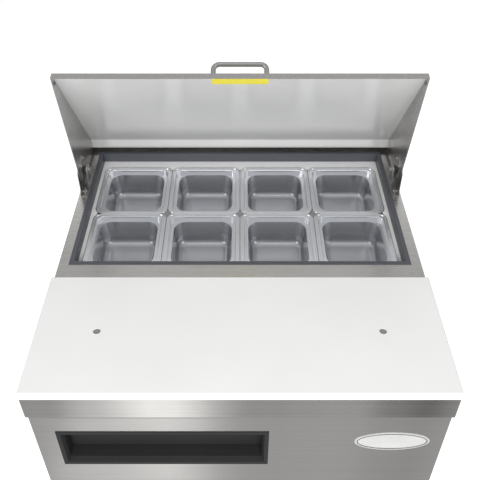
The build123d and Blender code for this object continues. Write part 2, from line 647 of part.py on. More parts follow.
# ---- door ---------------------------------------------------------------------------------------
DOOR_HINGE_X = 346.0
DOOR_HINGE_Y = -359.5
DOOR_PIN_RADIUS = 4.0
BUSH_RADIUS = 8.0
BUSH_LENGTH = 14.0
DOOR_SKIN = 1.0
DOOR_LINER = 2.0
GASKET_BACK = -322.3


def door_handle_pocket(grow):
    """The space that the recessed handle takes out of the door."""
    return block(HANDLE_LEFT + 6 - grow, HANDLE_RIGHT - 6 + grow, DOOR_FACE - 5,
                 DOOR_FACE + HANDLE_POCKET_DEPTH + grow, HANDLE_BOTTOM + 6 - grow, HANDLE_TOP - 6 + grow)


def door_bush_spaces():
    """Pockets for the pivot bushes at the door's two ends."""
    lower = rod_z(DOOR_BOTTOM - 1, DOOR_BOTTOM + BUSH_LENGTH, DOOR_HINGE_X, DOOR_HINGE_Y, BUSH_RADIUS)
    upper = rod_z(DOOR_TOP - BUSH_LENGTH, DOOR_TOP + 1, DOOR_HINGE_X, DOOR_HINGE_Y, BUSH_RADIUS)
    return lower + upper


def make_door_skin():
    """Stainless outer skin of the door, folded back on four sides."""
    outer = block(-DOOR_HALF_WIDTH, DOOR_HALF_WIDTH, DOOR_FACE, DOOR_BACK - DOOR_LINER, DOOR_BOTTOM, DOOR_TOP)
    front_edges = outer.edges().group_by(Axis.Y)[0]
    outer = fillet(front_edges, radius=2.0)
    hollow = block(-DOOR_HALF_WIDTH + DOOR_SKIN, DOOR_HALF_WIDTH - DOOR_SKIN, DOOR_FACE + DOOR_SKIN,
                   DOOR_BACK + 5, DOOR_BOTTOM + DOOR_SKIN, DOOR_TOP - DOOR_SKIN)
    return outer - hollow - door_handle_pocket(0) - door_bush_spaces()


def make_door_foam():
    """Insulation inside the door."""
    foam = block(-DOOR_HALF_WIDTH + DOOR_SKIN, DOOR_HALF_WIDTH - DOOR_SKIN, DOOR_FACE + DOOR_SKIN,
                 DOOR_BACK - DOOR_LINER, DOOR_BOTTOM + DOOR_SKIN, DOOR_TOP - DOOR_SKIN)
    return foam - door_handle_pocket(0) - door_bush_spaces()


def make_door_liner():
    """Inner panel of the door, with a raised field inside the gasket."""
    panel = block(-DOOR_HALF_WIDTH, DOOR_HALF_WIDTH, DOOR_BACK - DOOR_LINER, DOOR_BACK, DOOR_BOTTOM, DOOR_TOP)
    field = block(-300, 300, DOOR_BACK, DOOR_BACK + 8, DOOR_BOTTOM + 60, DOOR_TOP - 40)
    field = fillet(field.edges().filter_by(Axis.Y), radius=18.0)
    return panel + field


def make_door_gasket():
    """Soft magnetic gasket in a frame on the door's inner face."""
    outer = block(-338, 338, DOOR_BACK, GASKET_BACK, DOOR_BOTTOM + 16, DOOR_TOP - 16)
    inner = block(-320, 320, DOOR_BACK - 1, GASKET_BACK + 1, DOOR_BOTTOM + 34, DOOR_TOP - 34)
    return outer - inner


BADGE_X = 267.0
BADGE_Z = 794.6
BADGE_WIDTH = 132.0
BADGE_HEIGHT = 54.0
BADGE_THICKNESS = 1.4


def make_door_badge():
    """Blank oval name plate on the door's face."""
    plate = extrude(Ellipse(BADGE_WIDTH / 2, BADGE_HEIGHT / 2), amount=BADGE_THICKNESS)
    plate = fillet(plate.edges().group_by(Axis.Z)[-1], radius=0.6)
    return Pos(BADGE_X, DOOR_FACE, BADGE_Z) * Rot(90, 0, 0) * plate


HANDLE_BEVEL = 11.0
HANDLE_MOUTH = 7.2
HANDLE_PROUD = 1.2


def make_door_handle():
    """Black moulded recessed handle: a bevelled frame round a finger pocket."""
    x0 = HANDLE_LEFT
    x1 = HANDLE_RIGHT
    flange = block(x0, x1, DOOR_FACE - HANDLE_PROUD, DOOR_FACE, HANDLE_BOTTOM, HANDLE_TOP)
    body = door_handle_pocket(0) & block(x0, x1, DOOR_FACE, DOOR_FACE + HANDLE_POCKET_DEPTH + 1,
                                         HANDLE_BOTTOM, HANDLE_TOP)
    mouth_y = DOOR_FACE - HANDLE_PROUD - 0.5
    throat_y = DOOR_FACE + 7
    mouth = mouth_face(mouth_y, HANDLE_MOUTH)
    throat = mouth_face(throat_y, HANDLE_BEVEL)
    bevel = loft([mouth, throat])
    pocket = block(x0 + HANDLE_BEVEL, x1 - HANDLE_BEVEL, throat_y - 0.5, DOOR_FACE + HANDLE_POCKET_DEPTH - 2.5,
                   HANDLE_BOTTOM + HANDLE_BEVEL + 3, HANDLE_TOP - HANDLE_BEVEL - 3)
    return flange + body - bevel - pocket


def mouth_face(y, inset):
    """A rectangle across the handle's pocket at the given y."""
    width = HANDLE_RIGHT - HANDLE_LEFT - 2 * inset
    height = HANDLE_TOP - HANDLE_BOTTOM - 2 * inset
    middle = ((HANDLE_LEFT + HANDLE_RIGHT) / 2, y, (HANDLE_TOP + HANDLE_BOTTOM) / 2)
    return Plane(origin=middle, x_dir=(1, 0, 0), z_dir=(0, -1, 0)) * Rectangle(width, height)


def make_hinge_brackets():
    """Upper and lower brackets on the cabinet's front, each with the pin that the door turns on."""
    brackets = []
    for z0, z1, pin_end in ((DOOR_TOP + 1.2, FASCIA_BOTTOM - 0.3, DOOR_TOP - BUSH_LENGTH + 1),
                            (DOOR_BOTTOM - 5, DOOR_BOTTOM - 1.2, DOOR_BOTTOM + BUSH_LENGTH - 1)):
        arm = block(DOOR_HINGE_X - 28, DOOR_HALF_WIDTH - 2, DOOR_HINGE_Y - 12, CABINET_FRONT, z0, z1)
        arm = fillet(arm.edges().filter_by(Axis.Z).group_by(Axis.Y)[0], radius=8.0)
        pin = rod_z((z0 + z1) / 2, pin_end, DOOR_HINGE_X, DOOR_HINGE_Y, DOOR_PIN_RADIUS)
        brackets.append(arm + pin)
    return Compound(children=brackets)


def make_door_bushings():
    """Nylon bushes pressed into the door's ends."""
    bushes = []
    for z0 in (DOOR_BOTTOM, DOOR_TOP - BUSH_LENGTH):
        bush = rod_z(z0, z0 + BUSH_LENGTH, DOOR_HINGE_X, DOOR_HINGE_Y, BUSH_RADIUS)
        bore = rod_z(z0 - 1, z0 + BUSH_LENGTH + 1, DOOR_HINGE_X, DOOR_HINGE_Y,
                     DOOR_PIN_RADIUS + RUNNING_CLEARANCE)
        bushes.append(bush - bore)
    return Compound(children=bushes)


# ---- refrigeration ------------------------------------------------------------------------------
COMPRESSOR_X = -215.0
COMPRESSOR_Y = 275.0
COMPRESSOR_RADIUS = 68.0
CONDENSER_X = 150.0
FAN_Z = 260.0
EVAPORATOR_Z = 620.0


def make_compressor():
    """Hermetic compressor: a domed can on its foot plate with rubber-mounted feet."""
    z0 = BASE_TOP
    plate = block(COMPRESSOR_X - 90, COMPRESSOR_X + 90, COMPRESSOR_Y - 62, COMPRESSOR_Y + 62, z0 + 14, z0 + 17)
    can = rod_z(z0 + 17, z0 + 130, COMPRESSOR_X, COMPRESSOR_Y, COMPRESSOR_RADIUS)
    can = fillet(can.edges().group_by(Axis.Z)[-1], radius=34.0)
    terminal = block(COMPRESSOR_X + 40, COMPRESSOR_X + 84, COMPRESSOR_Y - 25, COMPRESSOR_Y + 25, z0 + 40, z0 + 95)
    unit = plate + can + terminal
    for foot_x in SIDES:
        for foot_y in SIDES:
            unit = unit + rod_z(z0, z0 + 14, COMPRESSOR_X + foot_x * 76, COMPRESSOR_Y + foot_y * 50, 11.0)
    return unit


def fin_block(x0, x1, y0, y1, z0, z1, fins):
    """A heat exchanger: end plates, a thin core and upright fins across the air flow."""
    core = block(x0, x1, (y0 + y1) / 2 - 2, (y0 + y1) / 2 + 2, z0, z1)
    pitch = (x1 - x0 - 2.0) / (fins - 1)
    for number in range(fins):
        x = x0 + pitch * number
        core = core + block(x, x + 2.0, y0, y1, z0, z1)
    return core


def make_condenser():
    """Condenser coil behind the rear grille."""
    return fin_block(CONDENSER_X - 105, CONDENSER_X + 105, 330, 372, BASE_TOP, 390, 22)


def make_evaporator():
    """Evaporator coil on the back wall of the refrigerated space."""
    return fin_block(-180, 180, 272, CABIN_BACK, 525, 715, 31)


MOTOR_RADIUS = 30.0
MOTOR_LENGTH = 46.0
SHAFT_RADIUS = 3.0


def fan_motor(x, y0, z, base_z, direction):
    """A fan motor with its shaft and a strap down to what carries it."""
    y1 = y0 + direction * MOTOR_LENGTH
    can = rod_y(y0, y1, x, z, MOTOR_RADIUS)
    can = fillet(can.edges(), radius=6.0)
    shaft = rod_y(y1 - direction, y1 + direction * 26, x, z, SHAFT_RADIUS)
    strap = block(x - 14, x + 14, y0 + direction * 12, y0 + direction * 30, base_z, z - MOTOR_RADIUS + 6)
    return can + shaft + strap


CONDENSER_MOTOR_Y = 236.0
EVAPORATOR_MOTOR_Y = 180.0


def make_fan_motors():
    """The condenser's and the evaporator's fan motors."""
    condenser_motor = fan_motor(CONDENSER_X, CONDENSER_MOTOR_Y, FAN_Z, BASE_TOP, 1)
    evaporator_motor = fan_motor(0, EVAPORATOR_MOTOR_Y, EVAPORATOR_Z, STEP_TOP, 1)
    return Compound(children=[condenser_motor, evaporator_motor])


BLADES = 5


def fan_wheel(x, y, z, radius):
    """An axial fan: a hub bored for the motor shaft and five pitched blades."""
    hub = rod_y(y, y + 16, x, z, 16.0)
    blades = hub
    for number in range(BLADES):
        blade = Pos((radius + 12) / 2, 0, 0) * Rot(32, 0, 0) * Box(radius - 12, 2.0, radius * 0.42)
        turned = Rot(0, 360.0 * number / BLADES, 0) * blade
        blades = blades + Pos(x, y + 8, z) * turned
    rim_cut = Pos(x, y + 8, z) * Rot(90, 0, 0) * (Cylinder(radius * 2, 60) - Cylinder(radius, 61))
    bore = rod_y(y - 30, y + 40, x, z, SHAFT_RADIUS + RUNNING_CLEARANCE)
    return one_piece(blades - rim_cut - bore)


CONDENSER_FAN_Y = CONDENSER_MOTOR_Y + MOTOR_LENGTH + 8
EVAPORATOR_FAN_Y = EVAPORATOR_MOTOR_Y + MOTOR_LENGTH + 8


def make_refrigerant_tubing():
    """Copper suction and liquid tubes between the compressor, the condenser and the evaporator."""
    suction = tube_along([
        (COMPRESSOR_X + 20, COMPRESSOR_Y, BASE_TOP + 130.2),
        (COMPRESSOR_X + 20, COMPRESSOR_Y, MACHINE_TOP - 35),
        (TUBE_X[1], TUBE_Y, MACHINE_TOP - 35),
        (TUBE_X[1], TUBE_Y, 524.5),
    ], [24, 24], 5.0)
    liquid = tube_along([
        (CONDENSER_X - 105.2, 340, 370),
        (CONDENSER_X - 150, 340, 370),
        (TUBE_X[0], TUBE_Y, 370),
        (TUBE_X[0], TUBE_Y, 524.5),
    ], [14, 20], 3.5)
    return Compound(children=[suction, liquid])


GRILLE_BOTTOM = BASE_TOP + 2
LOUVRES = 9
CONTROL_X0 = 205.0
CONTROL_X1 = 320.0
CONTROL_Z0 = 396.0
CONTROL_Z1 = 434.0


def make_rear_grille():
    """Removable rear cover of the machine compartment, with louvre slots and a control cut-out."""
    panel = block(-SIDE_OUTER, SIDE_OUTER, CABINET_BACK, CABINET_BACK + SHEET, GRILLE_BOTTOM, MACHINE_TOP + 2)
    for number in range(LOUVRES):
        z = GRILLE_BOTTOM + 24 + number * 25
        for middle in (-165, 165):
            panel = panel - block(middle - 125, middle + 125, CABINET_BACK - 1, CABINET_BACK + 3, z, z + 9)
    control = block(CONTROL_X0, CONTROL_X1, CABINET_BACK - 1, CABINET_BACK + 3, CONTROL_Z0, CONTROL_Z1)
    gland = rod_y(CABINET_BACK - 1, CABINET_BACK + 3, CORD_X, CORD_Z, 9.0)
    return panel - control - gland


SWITCH_X = 302.0
SWITCH_Z = (CONTROL_Z0 + CONTROL_Z1) / 2
SWITCH_TILT = 10.0           # degrees, either side of level
KNOB_X = 238.0
KNOB_RADIUS = 16.0
KNOB_SHAFT_RADIUS = 3.0
PANEL_FACE = CABINET_BACK + SHEET + 3.0
CORD_X = -320.0
CORD_Z = 175.0


def make_controller():
    """Thermostat housing with a bezel that also holds the power switch."""
    face = block(CONTROL_X0 - 4, CONTROL_X1 + 4, CABINET_BACK + SHEET, PANEL_FACE,
                 CONTROL_Z0 - 4, CONTROL_Z1 + 4)
    face = fillet(face.edges().filter_by(Axis.Y), radius=3.0)
    body = block(CONTROL_X0, CONTROL_X1, CABINET_BACK - 42, CABINET_BACK + SHEET, CONTROL_Z0, CONTROL_Z1)
    shaft_hole = rod_y(CABINET_BACK - 16, PANEL_FACE + 1, KNOB_X, SWITCH_Z, KNOB_SHAFT_RADIUS + RUNNING_CLEARANCE)
    rocker_space = block(SWITCH_X - 8.5, SWITCH_X + 8.5, CABINET_BACK - 8, PANEL_FACE + 1,
                         SWITCH_Z - 13.5, SWITCH_Z + 13.5)
    return face + body - shaft_hole - rocker_space


def make_thermostat_knob():
    """Ribbed thermostat knob with a pointer and its shaft, turned fully down."""
    skirt = rod_y(PANEL_FACE + 0.4, PANEL_FACE + 2.4, KNOB_X, SWITCH_Z, KNOB_RADIUS)
    grip = rod_y(PANEL_FACE + 2.4, PANEL_FACE + 10.5, KNOB_X, SWITCH_Z, KNOB_RADIUS - 3)
    for number in range(12):
        angle = math.radians(30.0 * number)
        groove_x = KNOB_X + (KNOB_RADIUS - 2.6) * math.cos(angle)
        groove_z = SWITCH_Z + (KNOB_RADIUS - 2.6) * math.sin(angle)
        grip = grip - rod_y(PANEL_FACE + 3.4, PANEL_FACE + 12, groove_x, groove_z, 1.4)
    shaft = rod_y(CABINET_BACK - 14, PANEL_FACE + 0.4, KNOB_X, SWITCH_Z, KNOB_SHAFT_RADIUS)
    pointer = block(KNOB_X - 1, KNOB_X + 1, PANEL_FACE + 10.5, PANEL_FACE + 11.3, SWITCH_Z - 11, SWITCH_Z - 2)
    return skirt + grip + shaft + pointer


def make_power_switch():
    """Rocker of the power switch, tipped about its middle with its lower end pressed in."""
    y = CABINET_BACK + SHEET
    outline = [(y - 4, SWITCH_Z - 11.5), (y + 4.4, SWITCH_Z - 11.5), (y + 3.2, SWITCH_Z),
               (y + 4.4, SWITCH_Z + 11.5), (y - 4, SWITCH_Z + 11.5)]
    pivot = Pos(0, y, SWITCH_Z)
    rocker = plate_yz(outline, SWITCH_X - 7.5, SWITCH_X + 7.5)
    rocker = rocker + rod_x(SWITCH_X - 8.4, SWITCH_X + 8.4, y, SWITCH_Z, 1.5)
    return pivot * Rot(SWITCH_TILT, 0, 0) * pivot.inverse() * rocker


def make_cord_gland():
    """Strain-relief gland for the supply cord, which is left off."""
    y = CABINET_BACK + SHEET
    flange = rod_y(y, y + 3, CORD_X, CORD_Z, 13.0)
    neck = rod_y(CABINET_BACK - 12, y, CORD_X, CORD_Z, 9.0)
    cap = rod_y(y + 3, y + 13.5, CORD_X, CORD_Z, 10.0)
    bore = rod_y(CABINET_BACK - 15, y + 20, CORD_X, CORD_Z, 4.2)
    return flange + neck + fillet(cap.edges(), radius=1.5) - bore


# ---- casters ------------------------------------------------------------------------------------
CASTER_PLATE_BOTTOM = CABINET_BOTTOM - 6.0
RACE_BOTTOM = 112.4
FORK_TOP = 112.0
KING_PIN_RADIUS = 6.0
AXLE_RADIUS = 5.0
FORK_INNER = 18.0
FORK_WALL = 3.0
PLATE_HOLE_X = 38.0
PLATE_HOLE_Y = 30.0


def caster_places():
    """The middles of the four casters: front left, front right, rear left, rear right."""
    return [(side * CASTER_X, y) for y in (CASTER_FRONT_Y, CASTER_REAR_Y) for side in SIDES]


def plate_holes():
    """The four bolt holes of a caster plate, from its middle."""
    return [(sx * PLATE_HOLE_X, sy * PLATE_HOLE_Y) for sx in SIDES for sy in SIDES]


def make_caster_plates():
    """Top plates of the four casters, each with its ball race."""
    plates = []
    for x, y in caster_places():
        plate = block(x - 47, x + 47, y - 40, y + 40, CASTER_PLATE_BOTTOM, CABINET_BOTTOM)
        plate = fillet(plate.edges().filter_by(Axis.Z), radius=7.0)
        race = rod_z(RACE_BOTTOM, CASTER_PLATE_BOTTOM, x, y, 27.0)
        pin_hole = rod_z(RACE_BOTTOM - 1, CABINET_BOTTOM + 1, x, y, KING_PIN_RADIUS + RUNNING_CLEARANCE)
        plate = plate + race - pin_hole
        for hole_x, hole_y in plate_holes():
            plate = plate - rod_z(CASTER_PLATE_BOTTOM - 1, CABINET_BOTTOM + 1, x + hole_x, y + hole_y, 4.0)
        plates.append(plate)
    return Compound(children=plates)


def trail_sign(y):
    """Front casters trail forwards and rear casters trail backwards."""
    return -1 if y < 0 else 1


def make_caster_fork(x, y):
    """Swivel fork with its king pin, and the axle as a second solid."""
    sign = trail_sign(y)
    outline = [(-24, FORK_TOP), (24, FORK_TOP), (CASTER_TRAIL + 14, WHEEL_RADIUS + 4),
               (CASTER_TRAIL + 9, WHEEL_RADIUS - 12), (CASTER_TRAIL - 9, WHEEL_RADIUS - 12),
               (CASTER_TRAIL - 14, WHEEL_RADIUS + 4)]
    cheek = [(y + sign * along, up) for along, up in outline]
    crown = block(x - FORK_INNER - FORK_WALL, x + FORK_INNER + FORK_WALL, y - 24, y + 24, FORK_TOP - 4, FORK_TOP)
    fork = crown + rod_z(FORK_TOP - 1, CABINET_BOTTOM - 0.5, x, y, KING_PIN_RADIUS)
    axle_y = y + sign * CASTER_TRAIL
    for side in SIDES:
        inner = x + side * FORK_INNER
        fork = fork + plate_yz(cheek, inner, inner + side * FORK_WALL)
    fork = fork - rod_x(x - 40, x + 40, axle_y, WHEEL_RADIUS, AXLE_RADIUS)
    if y < 0:
        fork = fork + rod_x(x - FORK_INNER - FORK_WALL, x + FORK_INNER + FORK_WALL, y + sign * PEDAL_PIVOT,
                            PEDAL_PIVOT_Z, PEDAL_PIN_RADIUS)
    axle = rod_x(x - FORK_INNER - FORK_WALL - 4, x + FORK_INNER + FORK_WALL + 4, axle_y, WHEEL_RADIUS, AXLE_RADIUS)
    for side in SIDES:
        cheek_face = x + side * (FORK_INNER + FORK_WALL)
        axle = axle + rod_x(cheek_face, cheek_face + side * 4, axle_y, WHEEL_RADIUS, 8.5)
    return Compound(children=[fork, axle])


def make_caster_wheel(x, y):
    """Tread, web and hub of one wheel."""
    axle_y = y + trail_sign(y) * CASTER_TRAIL
    half = WHEEL_WIDTH / 2
    tread = rod_x(x - half, x + half, axle_y, WHEEL_RADIUS, WHEEL_RADIUS)
    tread = fillet(tread.edges(), radius=5.0)
    for side in SIDES:
        recess = rod_x(x + side * (half - 5), x + side * (half + 1), axle_y, WHEEL_RADIUS, 36.0)
        boss = rod_x(x + side * (half - 6), x + side * (half + 1), axle_y, WHEEL_RADIUS, 13.0)
        tread = tread - (recess - boss)
    bore = rod_x(x - half - 1, x + half + 1, axle_y, WHEEL_RADIUS, AXLE_RADIUS + RUNNING_CLEARANCE)
    return tread - bore


PEDAL_PIVOT = 16.0
PEDAL_PIVOT_Z = 104.4
PEDAL_PIN_RADIUS = 1.6
PEDAL_END = 94.0
PEDAL_Z = 103.2


def make_brake_pedal(x, y):
    """Foot pedal of a locking caster, over the wheel, with a rolled eye round its pin."""
    sign = trail_sign(y)
    outline = [(PEDAL_PIVOT, PEDAL_Z), (PEDAL_END - 12, PEDAL_Z), (PEDAL_END, PEDAL_Z - 6),
               (PEDAL_END, PEDAL_Z - 3), (PEDAL_END - 11, PEDAL_Z + 3.0), (PEDAL_PIVOT, PEDAL_Z + 3.0)]
    profile = [(y + sign * along, up) for along, up in outline]
    eye = rod_x(x - 15, x + 15, y + sign * PEDAL_PIVOT, PEDAL_PIVOT_Z, 3.0)
    bore = rod_x(x - 16, x + 16, y + sign * PEDAL_PIVOT, PEDAL_PIVOT_Z, PEDAL_PIN_RADIUS + RUNNING_CLEARANCE)
    return plate_yz(profile, x - 15, x + 15) + eye - bore


# ---- write one STEP per sub-part ----------------------------------------------------------------
def all_parts():
    """Every node's name and shape."""
    parts = {
        "worktop": make_worktop(),
        "breaker_frame": make_breaker_frame(),
        "pan_ledge": make_pan_ledge(),
        "divider_bars": make_divider_bars(),
        "cutting_board": make_cutting_board(),
        "board_pins": make_board_pins(),
        "lid_skin": make_lid_skin(),
        "lid_foam": make_lid_foam(),
        "lid_liner": make_lid_liner(),
        "lid_handle": make_lid_handle(),
        "hinge_arms": make_hinge_arms(),
        "hinge_bases": make_hinge_bases(),
        "hinge_springs": make_hinge_springs(),
        "hood_back": make_hood_back(),
        "cabinet_shell": make_cabinet_shell(),
        "front_frame": make_front_frame(),
        "base_tray": make_base_tray(),
        "cabinet_foam": make_cabinet_foam(),
        "cabinet_liner": make_cabinet_liner(),
        "door_skin": make_door_skin(),
        "door_foam": make_door_foam(),
        "door_liner": make_door_liner(),
        "door_gasket": make_door_gasket(),
        "door_handle": make_door_handle(),
        "door_badge": make_door_badge(),
        "hinge_brackets": make_hinge_brackets(),
        "door_bushings": make_door_bushings(),
        "shelf": make_shelf(),
        "shelf_clips": make_shelf_clips(),
        "compressor": make_compressor(),
        "condenser": make_condenser(),
        "fan_motors": make_fan_motors(),
        "condenser_fan": fan_wheel(CONDENSER_X, CONDENSER_FAN_Y, FAN_Z, 92.0),
        "evaporator": make_evaporator(),
        "evaporator_fan": fan_wheel(0, EVAPORATOR_FAN_Y, EVAPORATOR_Z, 78.0),
        "refrigerant_tubing": make_refrigerant_tubing(),
        "rear_grille": make_rear_grille(),
        "controller": make_controller(),
        "thermostat_knob": make_thermostat_knob(),
        "power_switch": make_power_switch(),
        "cord_gland": make_cord_gland(),
        "caster_plates": make_caster_plates(),
    }
    for row in range(PAN_ROWS):
        for column in range(PAN_COLUMNS):
            parts[f"pan_{row * PAN_COLUMNS + column + 1}"] = make_pan(column, row)
    for number, (x, y) in enumerate(caster_places(), start=1):
        parts[f"caster_fork_{number}"] = make_caster_fork(x, y)
        parts[f"caster_wheel_{number}"] = make_caster_wheel(x, y)
        if y < 0:
            parts[f"brake_pedal_{number}"] = make_brake_pedal(x, y)
    return parts


os.makedirs("parts", exist_ok=True)
for node, shape in all_parts().items():
    export_step(shape, f"parts/{node}.step")
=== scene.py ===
import math

import bmesh
import bpy
from mathutils import Matrix, Vector


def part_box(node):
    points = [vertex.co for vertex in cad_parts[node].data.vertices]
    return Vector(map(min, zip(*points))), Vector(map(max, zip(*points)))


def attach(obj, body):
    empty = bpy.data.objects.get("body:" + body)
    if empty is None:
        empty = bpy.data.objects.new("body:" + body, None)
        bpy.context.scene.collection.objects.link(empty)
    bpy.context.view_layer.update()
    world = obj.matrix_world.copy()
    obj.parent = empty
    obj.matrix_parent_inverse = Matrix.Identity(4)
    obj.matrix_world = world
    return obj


# Looks of the refrigerated sandwich prep table: materials for the CAD pieces, small trim, floor,
# light and camera. Metres, +Z up, front towards -Y.

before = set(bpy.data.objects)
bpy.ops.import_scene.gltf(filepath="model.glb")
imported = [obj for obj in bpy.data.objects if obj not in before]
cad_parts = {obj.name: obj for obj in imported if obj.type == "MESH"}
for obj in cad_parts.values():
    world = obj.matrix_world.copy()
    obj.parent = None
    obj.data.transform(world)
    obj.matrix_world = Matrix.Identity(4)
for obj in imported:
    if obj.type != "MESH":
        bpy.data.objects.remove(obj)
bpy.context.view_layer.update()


# ---- camera -------------------------------------------------------------------------------------
CAMERA_PLACE = (0.0, -1.037, 1.8315)
CAMERA_PITCH = 48.85          # degrees from straight down
CAMERA_LENS = 50.0            # mm, on a sensor this wide
CAMERA_SENSOR = 36.0


def add_camera():
    """Looks down at the worktop from in front of it."""
    data = bpy.data.cameras.new("camera")
    data.lens = CAMERA_LENS
    data.sensor_width = CAMERA_SENSOR
    camera = bpy.data.objects.new("camera", data)
    camera.location = CAMERA_PLACE
    camera.rotation_euler = (math.radians(CAMERA_PITCH), 0.0, 0.0)
    bpy.context.scene.collection.objects.link(camera)
    bpy.context.scene.camera = camera


# ---- material building blocks -------------------------------------------------------------------
class Nodes:
    """A new material's node tree, with short calls for the nodes that are used here."""

    def __init__(self, name):
        self.material = bpy.data.materials.new(name)
        self.material.use_nodes = True
        self.tree = self.material.node_tree
        self.shader = self.tree.nodes["Principled BSDF"]
        self.coordinates = self.tree.nodes.new("ShaderNodeTexCoord").outputs["Object"]

    def link(self, output, target):
        self.tree.links.new(output, target)

    def placed(self, scale):
        """Object coordinates multiplied by a scale for each axis."""
        mapping = self.tree.nodes.new("ShaderNodeMapping")
        mapping.inputs["Scale"].default_value = scale
        self.link(self.coordinates, mapping.inputs["Vector"])
        return mapping.outputs["Vector"]

    def noise(self, scale, detail=3.0, roughness=0.55):
        """Noise with its own scale for each axis."""
        node = self.tree.nodes.new("ShaderNodeTexNoise")
        node.inputs["Scale"].default_value = 1.0
        node.inputs["Detail"].default_value = detail
        node.inputs["Roughness"].default_value = roughness
        self.link(self.placed(scale), node.inputs["Vector"])
        return node.outputs["Fac"]

    def cells(self, scale, output="Color"):
        """Voronoi cells."""
        node = self.tree.nodes.new("ShaderNodeTexVoronoi")
        node.inputs["Scale"].default_value = 1.0
        self.link(self.placed(scale), node.inputs["Vector"])
        return node.outputs[output]

    def span(self, value, low, high, from_low=0.3, from_high=0.7):
        """Maps a value to the range low to high."""
        node = self.tree.nodes.new("ShaderNodeMapRange")
        node.inputs["From Min"].default_value = from_low
        node.inputs["From Max"].default_value = from_high
        node.inputs["To Min"].default_value = low
        node.inputs["To Max"].default_value = high
        self.link(value, node.inputs["Value"])
        return node.outputs["Result"]

    def math(self, kind, first, second):
        """Arithmetic on two values, or on a value and a number."""
        node = self.tree.nodes.new("ShaderNodeMath")
        node.operation = kind
        self.link(first, node.inputs[0])
        if isinstance(second, float):
            node.inputs[1].default_value = second
        else:
            self.link(second, node.inputs[1])
        return node.outputs[0]

    def tint(self, value, dark, light):
        """Mixes two colours by a value."""
        node = self.tree.nodes.new("ShaderNodeMix")
        node.data_type = "RGBA"
        colours = [socket for socket in node.inputs if socket.type == "RGBA"]
        colours[0].default_value = (*dark, 1.0)
        colours[1].default_value = (*light, 1.0)
        self.link(value, node.inputs[0])
        return [socket for socket in node.outputs if socket.type == "RGBA"][0]

    def colour(self, value, dark, light):
        """Base colour, mixed from two by a value."""
        self.link(self.tint(value, dark, light), self.shader.inputs["Base Color"])

    def rough(self, value):
        """Roughness that varies over the surface."""
        self.link(value, self.shader.inputs["Roughness"])

    def bump(self, height, strength, distance):
        """Turns a height into a normal."""
        node = self.tree.nodes.new("ShaderNodeBump")
        node.inputs["Strength"].default_value = strength
        node.inputs["Distance"].default_value = distance
        self.link(height, node.inputs["Height"])
        self.link(node.outputs["Normal"], self.shader.inputs["Normal"])

    def split(self, vector):
        """The X, Y and Z outputs of a vector."""
        node = self.tree.nodes.new("ShaderNodeSeparateXYZ")
        self.link(vector, node.inputs[0])
        return node.outputs

    def painted_reflection_bands(self, amount):
        """Painted reflection: wide soft light and dark bands painted into the colour across upright faces,
        two waves lined up at one bright peak.
        """
        place = self.split(self.coordinates)
        along = self.math("ADD", place["X"], place["Y"])
        waves = []
        for length in REFLECTION_BAND_LENGTHS:
            turn = self.math("MULTIPLY", self.math("SUBTRACT", along, REFLECTION_BAND_PEAK), math.tau / length)
            waves.append(self.math("COSINE", turn, 0.0))
        wobble = self.span(self.noise((9.0, 9.0, 0.0), 1.0, 0.4), -0.5, 0.5, 0.35, 0.65)
        total = self.math("ADD", self.math("ADD", waves[0], waves[1]), wobble)
        return self.math("MULTIPLY", self.math("MULTIPLY", total, amount / len(waves)), self.upright())

    def upright(self):
        """1 on upright faces, falling to 0 on level ones."""
        normal = self.split(self.tree.nodes.new("ShaderNodeNewGeometry").outputs["Normal"])
        return self.span(self.math("ABSOLUTE", normal["Z"], 0.0), 1.0, 0.0, 0.2, 0.8)


def shaded(colour, factor):
    """A colour made darker or lighter."""
    return tuple(min(1.0, channel * factor) for channel in colour)


FINE = 1400.0                 # grain lines in a metre, across the brushing
LONG = 5.0                    # and along it
REFLECTION_BAND_LENGTHS = (0.30, 0.75)   # of the two waves of painted reflection on upright faces
REFLECTION_BAND_PEAK = -0.53             # where both painted reflection waves are brightest, along X + Y
GRAINS = {
    "x": (LONG, FINE, FINE),
    "y": (FINE, LONG, FINE),
    "z": (FINE, FINE, LONG),
}


def brushed_metal(name, colour, roughness, axis, depth=0.25, painted_reflection_bands=0.0, metallic=1.0):
    """Metal brushed along one axis, with faint smears and, on upright faces, wide soft painted reflection
    bands of light and dark tone.
    """
    n = Nodes(name)
    grain = n.noise(GRAINS[axis], 2.0, 0.6)
    streak = n.noise(tuple(value * 0.12 for value in GRAINS[axis]), 3.0)
    smear = n.noise((6.0, 6.0, 6.0), 4.0)
    rough = n.math("ADD", n.span(grain, -0.05, 0.05), n.span(smear, roughness - 0.03, roughness + 0.04))
    n.rough(rough)
    tone_and_painted_light = n.span(streak, 0.47, 0.53)
    # painted reflection: light and dark bands across upright faces, added to the grain streaks' tone
    if painted_reflection_bands:
        tone_and_painted_light = n.math("ADD", tone_and_painted_light, n.painted_reflection_bands(painted_reflection_bands))
    n.colour(tone_and_painted_light, shaded(colour, 0.40), shaded(colour, 1.60))
    n.shader.inputs["Metallic"].default_value = metallic
    n.bump(grain, depth, 0.00006)
    return n.material


def drawn_pan_metal(name, colour):
    """Smooth drawn stainless sheet with a fine satin grain, duller towards the floor of the pan: rougher
    there, and darkened there by painted shade.
    """
    n = Nodes(name)
    low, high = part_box("pan_1")
    height = n.span(n.split(n.coordinates)["Z"], 0.0, 1.0, low[2] + 0.004, high[2] - 0.006)
    cloud = n.noise((9.0, 9.0, 6.0), 2.0)
    grain = n.noise((600.0, 600.0, 600.0), 2.0, 0.5)
    rough = n.math("ADD", n.span(cloud, 0.0, 0.03), n.span(height, 0.30, 0.18, 0.0, 1.0))
    n.rough(n.math("ADD", rough, n.span(grain, -0.015, 0.015)))
    # painted shade: the colour darkens with depth towards the pan's floor
    tone_and_painted_light = n.math("ADD", n.span(cloud, -0.05, 0.05), height)
    n.colour(tone_and_painted_light, shaded(colour, 0.74), shaded(colour, 1.30))
    n.shader.inputs["Metallic"].default_value = 1.0
    n.bump(grain, 0.02, 0.00005)
    return n.material


